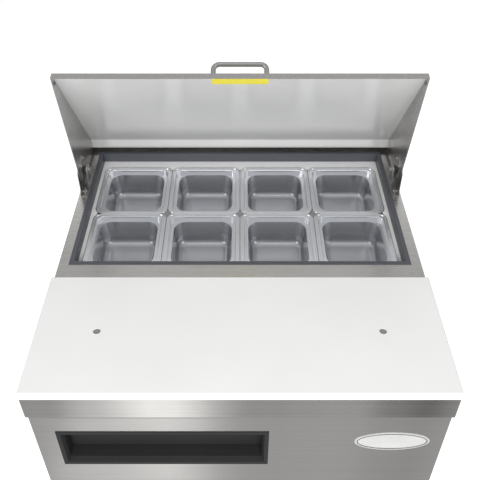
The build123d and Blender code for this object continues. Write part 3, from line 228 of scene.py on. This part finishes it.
def lid_panel_metal(name, colour):
    """Pale coated sheet with a soft reflection, faintly brushed down its slope."""
    n = Nodes(name)
    grain = n.noise((FINE, 30.0, 30.0), 2.0, 0.6)
    smear = n.noise((5.0, 5.0, 5.0), 4.0)
    n.rough(n.math("ADD", n.span(grain, -0.02, 0.02), n.span(smear, 0.15, 0.22)))
    n.colour(n.span(smear, 0.0, 1.0), shaded(colour, 0.98), shaded(colour, 1.02))
    n.shader.inputs["Metallic"].default_value = 0.35
    n.bump(grain, 0.06, 0.00005)
    return n.material


def moulded_plastic(name, colour, roughness, pore=900.0, depth=0.2, variation=0.06, specular=0.5):
    """Plastic with a fine moulded texture and slightly uneven gloss."""
    n = Nodes(name)
    pores = n.noise((pore, pore, pore), 2.0)
    cloud = n.noise((9.0, 9.0, 9.0), 4.0)
    n.rough(n.span(cloud, roughness - 0.05, roughness + 0.06))
    n.colour(n.span(cloud, 0.0, 1.0), shaded(colour, 1.0 - variation), shaded(colour, 1.0 + variation))
    n.shader.inputs["Specular IOR Level"].default_value = specular
    n.bump(pores, depth, 0.0001)
    return n.material


def cutting_plastic(name):
    """White polyethylene with a fine haze of knife strokes in several directions."""
    n = Nodes(name)
    strokes = n.noise((30.0, 900.0, 900.0), 2.0)
    cross = n.noise((900.0, 45.0, 900.0), 2.0)
    marks = n.math("MAXIMUM", n.span(strokes, 0.0, 1.0, 0.62, 0.75), n.span(cross, 0.0, 1.0, 0.64, 0.78))
    cloud = n.noise((5.0, 5.0, 5.0), 4.0)
    n.rough(n.span(cloud, 0.38, 0.48))
    n.colour(n.span(cloud, 0.0, 1.0), (0.66, 0.66, 0.655), (0.69, 0.69, 0.685))
    n.shader.inputs["Specular IOR Level"].default_value = 0.4
    height = n.math("SUBTRACT", n.noise((700.0, 700.0, 700.0), 2.0), marks)
    n.bump(height, 0.12, 0.00008)
    return n.material


def galvanised_sheet(name, colour):
    """Zinc-coated sheet with its spangle of crystals."""
    n = Nodes(name)
    spangle = n.cells((70.0, 70.0, 70.0))
    n.colour(n.span(spangle, 0.0, 1.0, 0.0, 1.0), shaded(colour, 0.86), shaded(colour, 1.1))
    n.rough(n.span(spangle, 0.34, 0.52, 0.0, 1.0))
    n.shader.inputs["Metallic"].default_value = 0.9
    n.bump(n.noise((300.0, 300.0, 300.0), 3.0), 0.1, 0.0001)
    return n.material


def rigid_foam(name):
    """Cut polyurethane foam with open cells."""
    n = Nodes(name)
    cell = n.cells((420.0, 420.0, 420.0), "Distance")
    cloud = n.noise((14.0, 14.0, 14.0), 4.0)
    n.colour(n.span(cloud, 0.0, 1.0), (0.72, 0.60, 0.34), (0.86, 0.77, 0.52))
    n.rough(n.span(cell, 0.8, 0.95, 0.0, 1.0))
    n.bump(cell, 0.5, 0.0006)
    return n.material


def painted_metal(name, colour, roughness, peel=260.0):
    """Sprayed or coated metal with a little orange peel."""
    n = Nodes(name)
    cloud = n.noise((11.0, 11.0, 11.0), 4.0)
    n.rough(n.span(cloud, roughness - 0.04, roughness + 0.08))
    n.colour(n.span(cloud, 0.0, 1.0), shaded(colour, 0.9), shaded(colour, 1.08))
    n.shader.inputs["Coat Weight"].default_value = 0.25
    n.bump(n.noise((peel, peel, peel), 2.0), 0.15, 0.0002)
    return n.material


def finned_metal(name, colour):
    """Aluminium fins, closer together than the modelled ones, across X, with painted shade in the gaps
    between them.
    """
    n = Nodes(name)
    wave = n.tree.nodes.new("ShaderNodeTexWave")
    wave.bands_direction = "X"
    wave.inputs["Scale"].default_value = 120.0
    n.link(n.coordinates, wave.inputs["Vector"])
    # painted shade: dark stripes between the fins
    n.colour(wave.outputs["Fac"], shaded(colour, 0.35), colour)
    n.rough(n.span(n.noise((40.0, 40.0, 40.0)), 0.35, 0.5))
    n.shader.inputs["Metallic"].default_value = 1.0
    n.bump(wave.outputs["Fac"], 0.4, 0.0008)
    return n.material


def drawn_copper(name):
    """Copper tube, a little tarnished."""
    n = Nodes(name)
    stain = n.noise((35.0, 35.0, 35.0), 5.0)
    n.colour(n.span(stain, 0.0, 1.0), (0.42, 0.19, 0.11), (0.80, 0.42, 0.27))
    n.rough(n.span(stain, 0.22, 0.45))
    n.shader.inputs["Metallic"].default_value = 1.0
    n.bump(n.noise((500.0, 500.0, 60.0)), 0.1, 0.0001)
    return n.material


def make_materials():
    """Every finish on the table, by name."""
    steel = (0.57, 0.56, 0.545)
    return {
        # The sixth argument of each brushed metal sets how strong its painted reflection bands are.
        "steel_x": brushed_metal("steel_brushed_across", steel, 0.28, "x", 0.25, 0.50),
        "door_steel": brushed_metal("steel_brushed_door", steel, 0.28, "x", 0.25, 0.16),
        "steel_y": brushed_metal("steel_brushed_deep", steel, 0.30, "y", 0.25, 0.16),
        "lid_inner": lid_panel_metal("lid_inner_panel", (0.70, 0.70, 0.695)),
        "ledge": brushed_metal("steel_pan_ledge", (0.97, 0.97, 0.965), 0.34, "x", 0.12, 0.0, 0.0),
        "pan": drawn_pan_metal("steel_drawn_pan", (0.66, 0.67, 0.695)),
        "bright": brushed_metal("steel_satin_bar", (0.46, 0.455, 0.445), 0.26, "x", 0.08),
        "badge": brushed_metal("badge_satin", (0.62, 0.62, 0.62), 0.30, "x", 0.12, 0.0, 0.6),
        "liner": brushed_metal("aluminium_liner", (0.74, 0.75, 0.75), 0.42, "x", 0.15, 0.06, 0.9),
        "board": cutting_plastic("board_polyethylene"),
        "frame": moulded_plastic("frame_plastic", (0.060, 0.063, 0.074), 0.40),
        "plug": moulded_plastic("plug_plastic", (0.18, 0.18, 0.175), 0.45),
        "black": moulded_plastic("black_plastic", (0.022, 0.022, 0.023), 0.50, 1100.0, 0.3),
        "handle": moulded_plastic("handle_plastic", (0.022, 0.022, 0.023), 0.55, 1100.0, 0.3, 0.06, 0.06),
        "gasket": moulded_plastic("gasket_vinyl", (0.10, 0.10, 0.105), 0.62),
        "nylon": moulded_plastic("white_nylon", (0.82, 0.82, 0.79), 0.40),
        "tread": moulded_plastic("wheel_tread", (0.035, 0.035, 0.037), 0.66, 500.0, 0.4),
        "pedal": moulded_plastic("pedal_plastic", (0.40, 0.025, 0.02), 0.42),
        "foam": rigid_foam("insulation_foam"),
        "galvanised": galvanised_sheet("galvanised_sheet", (0.60, 0.62, 0.63)),
        "zinc": galvanised_sheet("zinc_plate", (0.68, 0.69, 0.70)),
        "coated": painted_metal("shelf_coating", (0.80, 0.80, 0.78), 0.38),
        "black_steel": painted_metal("black_steel", (0.02, 0.02, 0.02), 0.34),
        "fins": finned_metal("exchanger_fins", (0.78, 0.79, 0.79)),
        "copper": drawn_copper("copper_tube"),
        "yellow": painted_metal("yellow_film", (0.76, 0.67, 0.05), 0.35, 600.0),
        "enamel": painted_metal("badge_enamel", (0.40, 0.40, 0.395), 0.25, 500.0),
        "rivet": brushed_metal("rivet_steel", (0.60, 0.59, 0.58), 0.28, "z", 0.08),
    }


FINISHES = {
    "steel_x": ["worktop", "front_frame"],
    "door_steel": ["door_skin", "hood_back"],
    "ledge": ["pan_ledge"],
    "steel_y": ["hinge_arms", "hinge_bases", "hinge_brackets", "lid_skin", "cabinet_shell"],
    "lid_inner": ["lid_liner"],
    "bright": ["lid_handle", "divider_bars"],
    "badge": ["door_badge"],
    "liner": ["cabinet_liner", "door_liner"],
    "board": ["cutting_board"],
    "frame": ["breaker_frame"],
    "plug": ["board_pins"],
    "handle": ["door_handle"],
    "black": ["condenser_fan", "evaporator_fan", "controller", "power_switch",
              "thermostat_knob", "cord_gland"],
    "gasket": ["door_gasket"],
    "nylon": ["door_bushings"],
    "foam": ["lid_foam", "door_foam", "cabinet_foam"],
    "galvanised": ["base_tray", "rear_grille", "shelf_clips"],
    "zinc": ["caster_plates"],
    "coated": ["shelf"],
    "black_steel": ["hinge_springs", "compressor", "fan_motors"],
    "fins": ["condenser", "evaporator"],
    "copper": ["refrigerant_tubing"],
}
PANS = 8
CASTERS = 4
LOCKING_CASTERS = 2


def finish_nodes(materials):
    """Gives every CAD node its finish."""
    wanted = {node: finish for finish, nodes in FINISHES.items() for node in nodes}
    for number in range(1, PANS + 1):
        wanted[f"pan_{number}"] = "pan"
    for number in range(1, CASTERS + 1):
        wanted[f"caster_fork_{number}"] = "zinc"
        wanted[f"caster_wheel_{number}"] = "tread"
    for number in range(1, LOCKING_CASTERS + 1):
        wanted[f"brake_pedal_{number}"] = "pedal"
    for node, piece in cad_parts.items():
        for slot in piece.material_slots:
            slot.material = materials[wanted[node]]


# ---- small pieces -------------------------------------------------------------------------------
def new_piece(name, shape, material, body):
    """An object made from a bmesh, riding on a body."""
    mesh = bpy.data.meshes.new(name)
    shape.to_mesh(mesh)
    shape.free()
    piece = bpy.data.objects.new(name, mesh)
    bpy.context.scene.collection.objects.link(piece)
    mesh.materials.append(material)
    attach(piece, body)
    return piece


def lathed(profile, steps=20):
    """A closed surface turned about Z from (radius, height) points that start and end on the axis."""
    shape = bmesh.new()
    rings = []
    turn = [(math.cos(math.tau * step / steps), math.sin(math.tau * step / steps)) for step in range(steps)]
    for radius, height in profile:
        if radius == 0.0:
            rings.append([shape.verts.new((0.0, 0.0, height))])
        else:
            rings.append([shape.verts.new((radius * x, radius * y, height)) for x, y in turn])
    for lower, upper in zip(rings, rings[1:]):
        for step in range(steps):
            after = (step + 1) % steps
            corners = [lower[step % len(lower)], lower[after % len(lower)],
                       upper[after % len(upper)], upper[step % len(upper)]]
            unique = list(dict.fromkeys(corners))
            shape.faces.new(unique)
    for face in shape.faces:
        face.smooth = True
    bmesh.ops.recalc_face_normals(shape, faces=shape.faces)
    return shape


def rivet_profile(radius):
    """Domed head with a dimple where the mandrel broke off."""
    return [(0.0, 0.0), (radius, 0.0), (radius, radius * 0.14), (radius * 0.82, radius * 0.42),
            (radius * 0.50, radius * 0.56), (radius * 0.36, radius * 0.58), (radius * 0.30, radius * 0.30),
            (0.0, radius * 0.28)]


def bolt_head(radius):
    """Hexagon bolt head with a chamfered top, on a round washer."""
    washer = radius * 1.35
    seat = radius * 0.16
    shape = lathed([(0.0, 0.0), (washer, 0.0), (washer, seat), (0.0, seat)], 24)
    head = lathed([(0.0, seat), (radius, seat), (radius, radius * 0.72),
                   (radius * 0.88, radius * 0.84), (0.0, radius * 0.84)], 6)
    for face in head.faces:
        face.smooth = False
    scratch = bpy.data.meshes.new("scratch")
    head.to_mesh(scratch)
    head.free()
    shape.from_mesh(scratch)
    bpy.data.meshes.remove(scratch)
    return shape


def repeated(shape, places):
    """Copies of a shape at several places, each with its +Z turned to the given direction."""
    scratch = bpy.data.meshes.new("scratch")
    shape.to_mesh(scratch)
    shape.free()
    result = bmesh.new()
    for place, direction in places:
        turn = Vector((0.0, 0.0, 1.0)).rotation_difference(Vector(direction)).to_matrix().to_4x4()
        copy = scratch.copy()
        copy.transform(Matrix.Translation(Vector(place)) @ turn)
        result.from_mesh(copy)
        bpy.data.meshes.remove(copy)
    bpy.data.meshes.remove(scratch)
    return result


# the lid's side view, closed, from its front lower edge, as the CAD model has it
LID_FRONT = -0.082
LID_SEAT = 0.9205
LID_LIP = 0.014
LID_SLOPE = math.radians(23.7)
LID_LINER_DEPTH = 0.006
LID_OPEN = math.radians(76.6)
LID_PIVOT = (0.0, 0.213, 0.9525)


def opened(point):
    """A point of the closed lid, turned to the open position."""
    pivot = Vector(LID_PIVOT)
    return pivot + Matrix.Rotation(-LID_OPEN, 3, "X") @ (Vector(point) - pivot)


def lid_inner_point(x, along, out):
    """A point on the lid's inner panel, moved out of its face."""
    inset = LID_LINER_DEPTH + out
    height = LID_LIP + along * math.tan(LID_SLOPE) - inset / math.cos(LID_SLOPE)
    return opened((x, LID_FRONT + along, LID_SEAT + height))


def rounded_outline(half_u, half_v, radius, steps=6):
    """Points round a rounded rectangle."""
    points = []
    for quarter, (sign_u, sign_v) in enumerate(((1, 1), (-1, 1), (-1, -1), (1, -1))):
        for step in range(steps + 1):
            angle = math.pi / 2 * (quarter + step / steps)
            points.append((sign_u * (half_u - radius) + radius * math.cos(angle),
                           sign_v * (half_v - radius) + radius * math.sin(angle)))
    return points


STICKER_HALF_WIDTH = 0.055
STICKER_START = 0.0125
STICKER_END = 0.0335
STICKER_THICKNESS = 0.0002
STICKER_CORNER = 0.0015
STICKER_GAP = 0.00004


def add_lid_sticker(materials):
    """Blank yellow film on the lid's inner panel, next to the front edge."""
    shape = bmesh.new()
    middle = (STICKER_START + STICKER_END) / 2
    outline = rounded_outline(STICKER_HALF_WIDTH, (STICKER_END - STICKER_START) / 2, STICKER_CORNER)
    rings = []
    for out in (STICKER_GAP, STICKER_GAP + STICKER_THICKNESS):
        rings.append([shape.verts.new(lid_inner_point(u, middle + v, out)) for u, v in outline])
    for ring in rings:
        shape.faces.new(ring)
    count = len(outline)
    for step in range(count):
        after = (step + 1) % count
        shape.faces.new((rings[0][step], rings[0][after], rings[1][after], rings[1][step]))
    bmesh.ops.recalc_face_normals(shape, faces=shape.faces)
    new_piece("lid_sticker", shape, materials["yellow"], "lid")


BADGE_BORDER = 0.0040
BADGE_LINE = 0.0011
BADGE_PROUD = 0.00035
BADGE_GAP = 0.00002


def oval(half_x, half_z, steps=72):
    """Points round an oval in X and Z."""
    turn = [math.tau * step / steps for step in range(steps)]
    return [(half_x * math.cos(angle), half_z * math.sin(angle)) for angle in turn]


def add_badge_trim(materials):
    """Dark line inlaid round the blank name plate, and its slightly domed pale field."""
    low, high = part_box("door_badge")
    middle = (low + high) / 2
    half_x = (high[0] - low[0]) / 2
    half_z = (high[2] - low[2]) / 2

    def ring(shape, inset, out):
        points = oval(half_x - inset, half_z - inset)
        return [shape.verts.new((middle[0] + x, low[1] - out, middle[2] + z)) for x, z in points]

    line = bmesh.new()
    inner = BADGE_BORDER + BADGE_LINE
    loops = [ring(line, BADGE_BORDER, BADGE_GAP), ring(line, BADGE_BORDER, BADGE_PROUD),
             ring(line, inner, BADGE_PROUD), ring(line, inner, BADGE_GAP)]
    for first, second in zip(loops, loops[1:] + loops[:1]):
        for step in range(len(first)):
            after = (step + 1) % len(first)
            line.faces.new((first[step], first[after], second[after], second[step]))
    bmesh.ops.recalc_face_normals(line, faces=line.faces)
    new_piece("badge_line", line, materials["black"], "door")

    field = bmesh.new()
    edge = inner + 0.0001
    loops = [ring(field, edge, BADGE_GAP)]
    for share in (0.0, 0.12, 0.30, 0.55, 0.85):
        dome = BADGE_PROUD * (0.4 + 0.6 * math.sin(share * math.pi / 2))
        loops.append(ring(field, edge + share * (half_z - edge), dome))
    for first, second in zip(loops, loops[1:]):
        for step in range(len(first)):
            after = (step + 1) % len(first)
            field.faces.new((first[step], first[after], second[after], second[step]))
    field.faces.new(loops[-1])
    field.faces.new(loops[0][::-1])
    for face in field.faces:
        face.smooth = True
    bmesh.ops.recalc_face_normals(field, faces=field.faces)
    new_piece("badge_field", field, materials["enamel"], "door")


BUTTON_RADIUS = 0.0038
BUTTON_ALONG = 0.022          # from the lid's front edge
BUTTON_UP = 0.011
LID_SHEET = 0.0012


def add_lid_buttons(materials):
    """Small button on the inside of each side wall, near the lid's lip."""
    low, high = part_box("lid_skin")
    places = []
    for side, wall in ((1, low[0]), (-1, high[0])):
        point = opened((wall + side * LID_SHEET, LID_FRONT + BUTTON_ALONG, LID_SEAT + BUTTON_UP))
        places.append((point, (side, 0.0, 0.0)))
    shape = repeated(lathed(rivet_profile(BUTTON_RADIUS)), places)
    new_piece("lid_buttons", shape, materials["gasket"], "lid")


LID_RIVETS = ((0.272, 0.022), (0.272, 0.045), (0.304, 0.045))   # along the lid, and up from its seat
LID_RIVET_X = 0.3553
LID_RIVET_RADIUS = 0.0032


def add_lid_rivets(materials):
    """Rivets that hold the hinge plates to the lid's side walls, seen on the plates' inner faces."""
    places = []
    for side in (-1, 1):
        for along, up in LID_RIVETS:
            point = opened((side * LID_RIVET_X, LID_FRONT + along, LID_SEAT + up))
            places.append((point, (-side, 0.0, 0.0)))
    shape = repeated(lathed(rivet_profile(LID_RIVET_RADIUS)), places)
    new_piece("lid_rivets", shape, materials["rivet"], "lid")


HINGE_SCREW_X = 0.3512
HINGE_SCREW_Z = 0.9225
HINGE_SCREW_RADIUS = 0.0024
HINGE_SCREW_FRONT = 0.016     # in from the front end of the bracket's foot
HINGE_SCREW_BACK = 0.009      # and from its back end


def add_hinge_screws(materials):
    """Screws through the hinge brackets' feet into the worktop."""
    low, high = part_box("hinge_bases")
    places = []
    for side in (-1, 1):
        for y in (low[1] + HINGE_SCREW_FRONT, high[1] - HINGE_SCREW_BACK):
            places.append(((side * HINGE_SCREW_X, y, HINGE_SCREW_Z), (0.0, 0.0, 1.0)))
    shape = repeated(lathed(rivet_profile(HINGE_SCREW_RADIUS)), places)
    new_piece("hinge_screws", shape, materials["rivet"], "cabinet")


BOLT_RADIUS = 0.0055
BOLT_X = 0.038                # from the middle of a caster plate
BOLT_Y = 0.030
PLATE_HALF_DEPTH = 0.040
PLATE_THICKNESS = 0.006


def add_caster_bolts(materials):
    """Hexagon bolts up through the caster plates."""
    low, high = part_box("caster_plates")
    places = []
    for number in range(1, CASTERS + 1):
        fork_low, fork_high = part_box(f"caster_fork_{number}")
        x = (fork_low[0] + fork_high[0]) / 2
        front = number <= CASTERS // 2
        y = low[1] + PLATE_HALF_DEPTH if front else high[1] - PLATE_HALF_DEPTH
        for step_x in (-BOLT_X, BOLT_X):
            for step_y in (-BOLT_Y, BOLT_Y):
                places.append(((x + step_x, y + step_y, high[2] - PLATE_THICKNESS), (0.0, 0.0, -1.0)))
    shape = repeated(bolt_head(BOLT_RADIUS), places)
    new_piece("caster_bolts", shape, materials["zinc"], "cabinet")


LOUVRES = 9
LOUVRE_PITCH = 0.025
LOUVRE_FIRST = 0.157
LOUVRE_WIDTH = 0.258
LOUVRE_RISE = 0.015
LOUVRE_DEPTH = 0.0075
LOUVRE_X = 0.165              # middle of each column of slots
LOUVRE_DROP = 0.001           # the hood's mouth starts this far below its slot
LOUVRE_END = 9.0              # how steeply a hood's ends close
LOUVRE_SHEET = 0.0008
LOUVRE_COLUMNS = 28           # steps in the hood's mesh
LOUVRE_ROWS = 6


def add_louvre_hoods(materials):
    """Pressed hoods over the rear cover's slots, closed at the top and ends and open below."""
    low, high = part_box("rear_grille")
    face = high[1]
    shape = bmesh.new()
    for number in range(LOUVRES):
        bottom = LOUVRE_FIRST - LOUVRE_DROP + number * LOUVRE_PITCH
        for middle in (-LOUVRE_X, LOUVRE_X):
            grid = []
            for row in range(LOUVRE_ROWS + 1):
                rise = row / LOUVRE_ROWS
                line = []
                for column in range(LOUVRE_COLUMNS + 1):
                    across = 2 * column / LOUVRE_COLUMNS - 1
                    end = min(1.0, (1 - abs(across)) * LOUVRE_END)
                    swell = math.sin(end * math.pi / 2) * math.cos(rise * math.pi / 2)
                    line.append(shape.verts.new((middle + across * LOUVRE_WIDTH / 2,
                                                 face + 0.0002 + LOUVRE_DEPTH * swell,
                                                 bottom + LOUVRE_RISE * rise)))
                grid.append(line)
            for lower, upper in zip(grid, grid[1:]):
                for column in range(LOUVRE_COLUMNS):
                    shape.faces.new((lower[column], lower[column + 1], upper[column + 1], upper[column]))
    for item in shape.faces:
        item.smooth = True
    bmesh.ops.recalc_face_normals(shape, faces=shape.faces)
    hoods = new_piece("louvre_hoods", shape, materials["galvanised"], "cabinet")
    solid = hoods.modifiers.new("sheet", "SOLIDIFY")
    solid.thickness = LOUVRE_SHEET
    solid.offset = 1.0


COVER_SCREW_IN = 0.010        # from the cover's side edges
COVER_SCREW_UP = 0.008        # from its lower and upper edges
COVER_SCREW_RADIUS = 0.0040


def add_cover_screws(materials):
    """Screws round the rear cover's edge."""
    low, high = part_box("rear_grille")
    places = []
    for x in (low[0] + COVER_SCREW_IN, 0.0, high[0] - COVER_SCREW_IN):
        for z in (low[2] + COVER_SCREW_UP, high[2] - COVER_SCREW_UP):
            places.append(((x, high[1], z), (0.0, 1.0, 0.0)))
    shape = repeated(lathed(rivet_profile(COVER_SCREW_RADIUS)), places)
    new_piece("cover_screws", shape, materials["rivet"], "cabinet")


SEAL_HEIGHT = 0.0018
SEAL_END = 0.002              # in from the cover's side edges
SEAL_GAP = 0.0001


def add_cover_seal(materials):
    """Rubber strip that closes the gap between the rear cover and the sheet above it."""
    low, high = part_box("rear_grille")
    shape = bmesh.new()
    corners = []
    left, right = low[0] + SEAL_END, high[0] - SEAL_END
    inner, outer = low[1] + SEAL_GAP, high[1] - 2 * SEAL_GAP
    for z in (high[2] + SEAL_GAP, high[2] + SEAL_GAP + SEAL_HEIGHT):
        for x, y in ((left, inner), (right, inner), (right, outer), (left, outer)):
            corners.append(shape.verts.new((x, y, z)))
    for side in ((3, 2, 1, 0), (4, 5, 6, 7), (0, 1, 5, 4), (1, 2, 6, 5), (2, 3, 7, 6), (3, 0, 4, 7)):
        shape.faces.new([corners[number] for number in side])
    new_piece("cover_seal", shape, materials["gasket"], "cabinet")


# ---- floor and light ----------------------------------------------------------------------------
FLOOR_REACH = 9.0
FLOOR_GLOW = 0.40
SURROUND_GREY = (0.54, 0.54, 0.54, 1.0)
MIDDLE = (0.0, 0.0, 0.8)
# name, place, target, size, watts, and whether it shows in reflections
SOFTBOXES = (
    ("overhead", (0.0, -0.2, 3.4), MIDDLE, (2.6, 1.8), 2.0, True),
    ("front", (0.0, -2.8, 2.35), (0.0, 0.25, 0.95), (2.4, 1.2), 115.0, False),
    ("key", (0.0, -1.3, 3.2), (0.0, 0.0, 0.9), (1.6, 0.5), 2.5, True),
    ("low", (-0.32, -1.00, 0.03), (-0.32, -0.85, 1.0), (0.46, 0.60), 0.38, True),
    ("left", (-2.4, -1.4, 1.6), MIDDLE, (0.9, 2.2), 18.0, True),
    ("right", (2.4, -1.4, 1.6), MIDDLE, (0.9, 2.2), 8.0, True),
    ("rear", (0.0, 3.0, 2.2), MIDDLE, (2.6, 1.2), 14.0, True),
)


def add_floor():
    """Plain pale floor."""
    shape = bmesh.new()
    signs = ((-1, -1), (1, -1), (1, 1), (-1, 1))
    corners = [shape.verts.new((x * FLOOR_REACH, y * FLOOR_REACH, 0.0)) for x, y in signs]
    shape.faces.new(corners)
    mesh = bpy.data.meshes.new("floor")
    shape.to_mesh(mesh)
    shape.free()
    floor = bpy.data.objects.new("floor", mesh)
    bpy.context.scene.collection.objects.link(floor)
    n = Nodes("floor")
    cloud = n.noise((2.0, 2.0, 2.0), 2.0)
    n.colour(cloud, (0.93, 0.93, 0.93), (0.95, 0.95, 0.95))
    n.shader.inputs["Roughness"].default_value = 0.9
    n.shader.inputs["Emission Color"].default_value = (1.0, 1.0, 1.0, 1.0)
    n.shader.inputs["Emission Strength"].default_value = FLOOR_GLOW
    mesh.materials.append(n.material)
    floor.visible_glossy = False


def add_softbox(name, place, target, size, power, glossy):
    """A rectangular light turned towards a point."""
    data = bpy.data.lights.new(name, "AREA")
    data.shape = "RECTANGLE"
    data.size, data.size_y = size
    data.energy = power
    light = bpy.data.objects.new(name, data)
    light.location = place
    direction = Vector(target) - Vector(place)
    light.rotation_euler = direction.to_track_quat("-Z", "Y").to_euler()
    light.visible_glossy = glossy
    light.visible_camera = False
    bpy.context.scene.collection.objects.link(light)


def add_light():
    """Soft studio light: a grey surround, boxes overhead, in front, at the sides and behind."""
    world = bpy.data.worlds.new("surround")
    world.use_nodes = True
    background = world.node_tree.nodes["Background"]
    background.inputs["Color"].default_value = SURROUND_GREY
    background.inputs["Strength"].default_value = 1.0
    bpy.context.scene.world = world
    bpy.context.scene.view_settings.view_transform = "Standard"
    for softbox in SOFTBOXES:
        add_softbox(*softbox)


add_camera()
finishes = make_materials()
finish_nodes(finishes)
add_lid_sticker(finishes)
add_lid_rivets(finishes)
add_lid_buttons(finishes)
add_badge_trim(finishes)
add_hinge_screws(finishes)
add_caster_bolts(finishes)
add_louvre_hoods(finishes)
add_cover_screws(finishes)
add_cover_seal(finishes)
add_floor()
add_light()
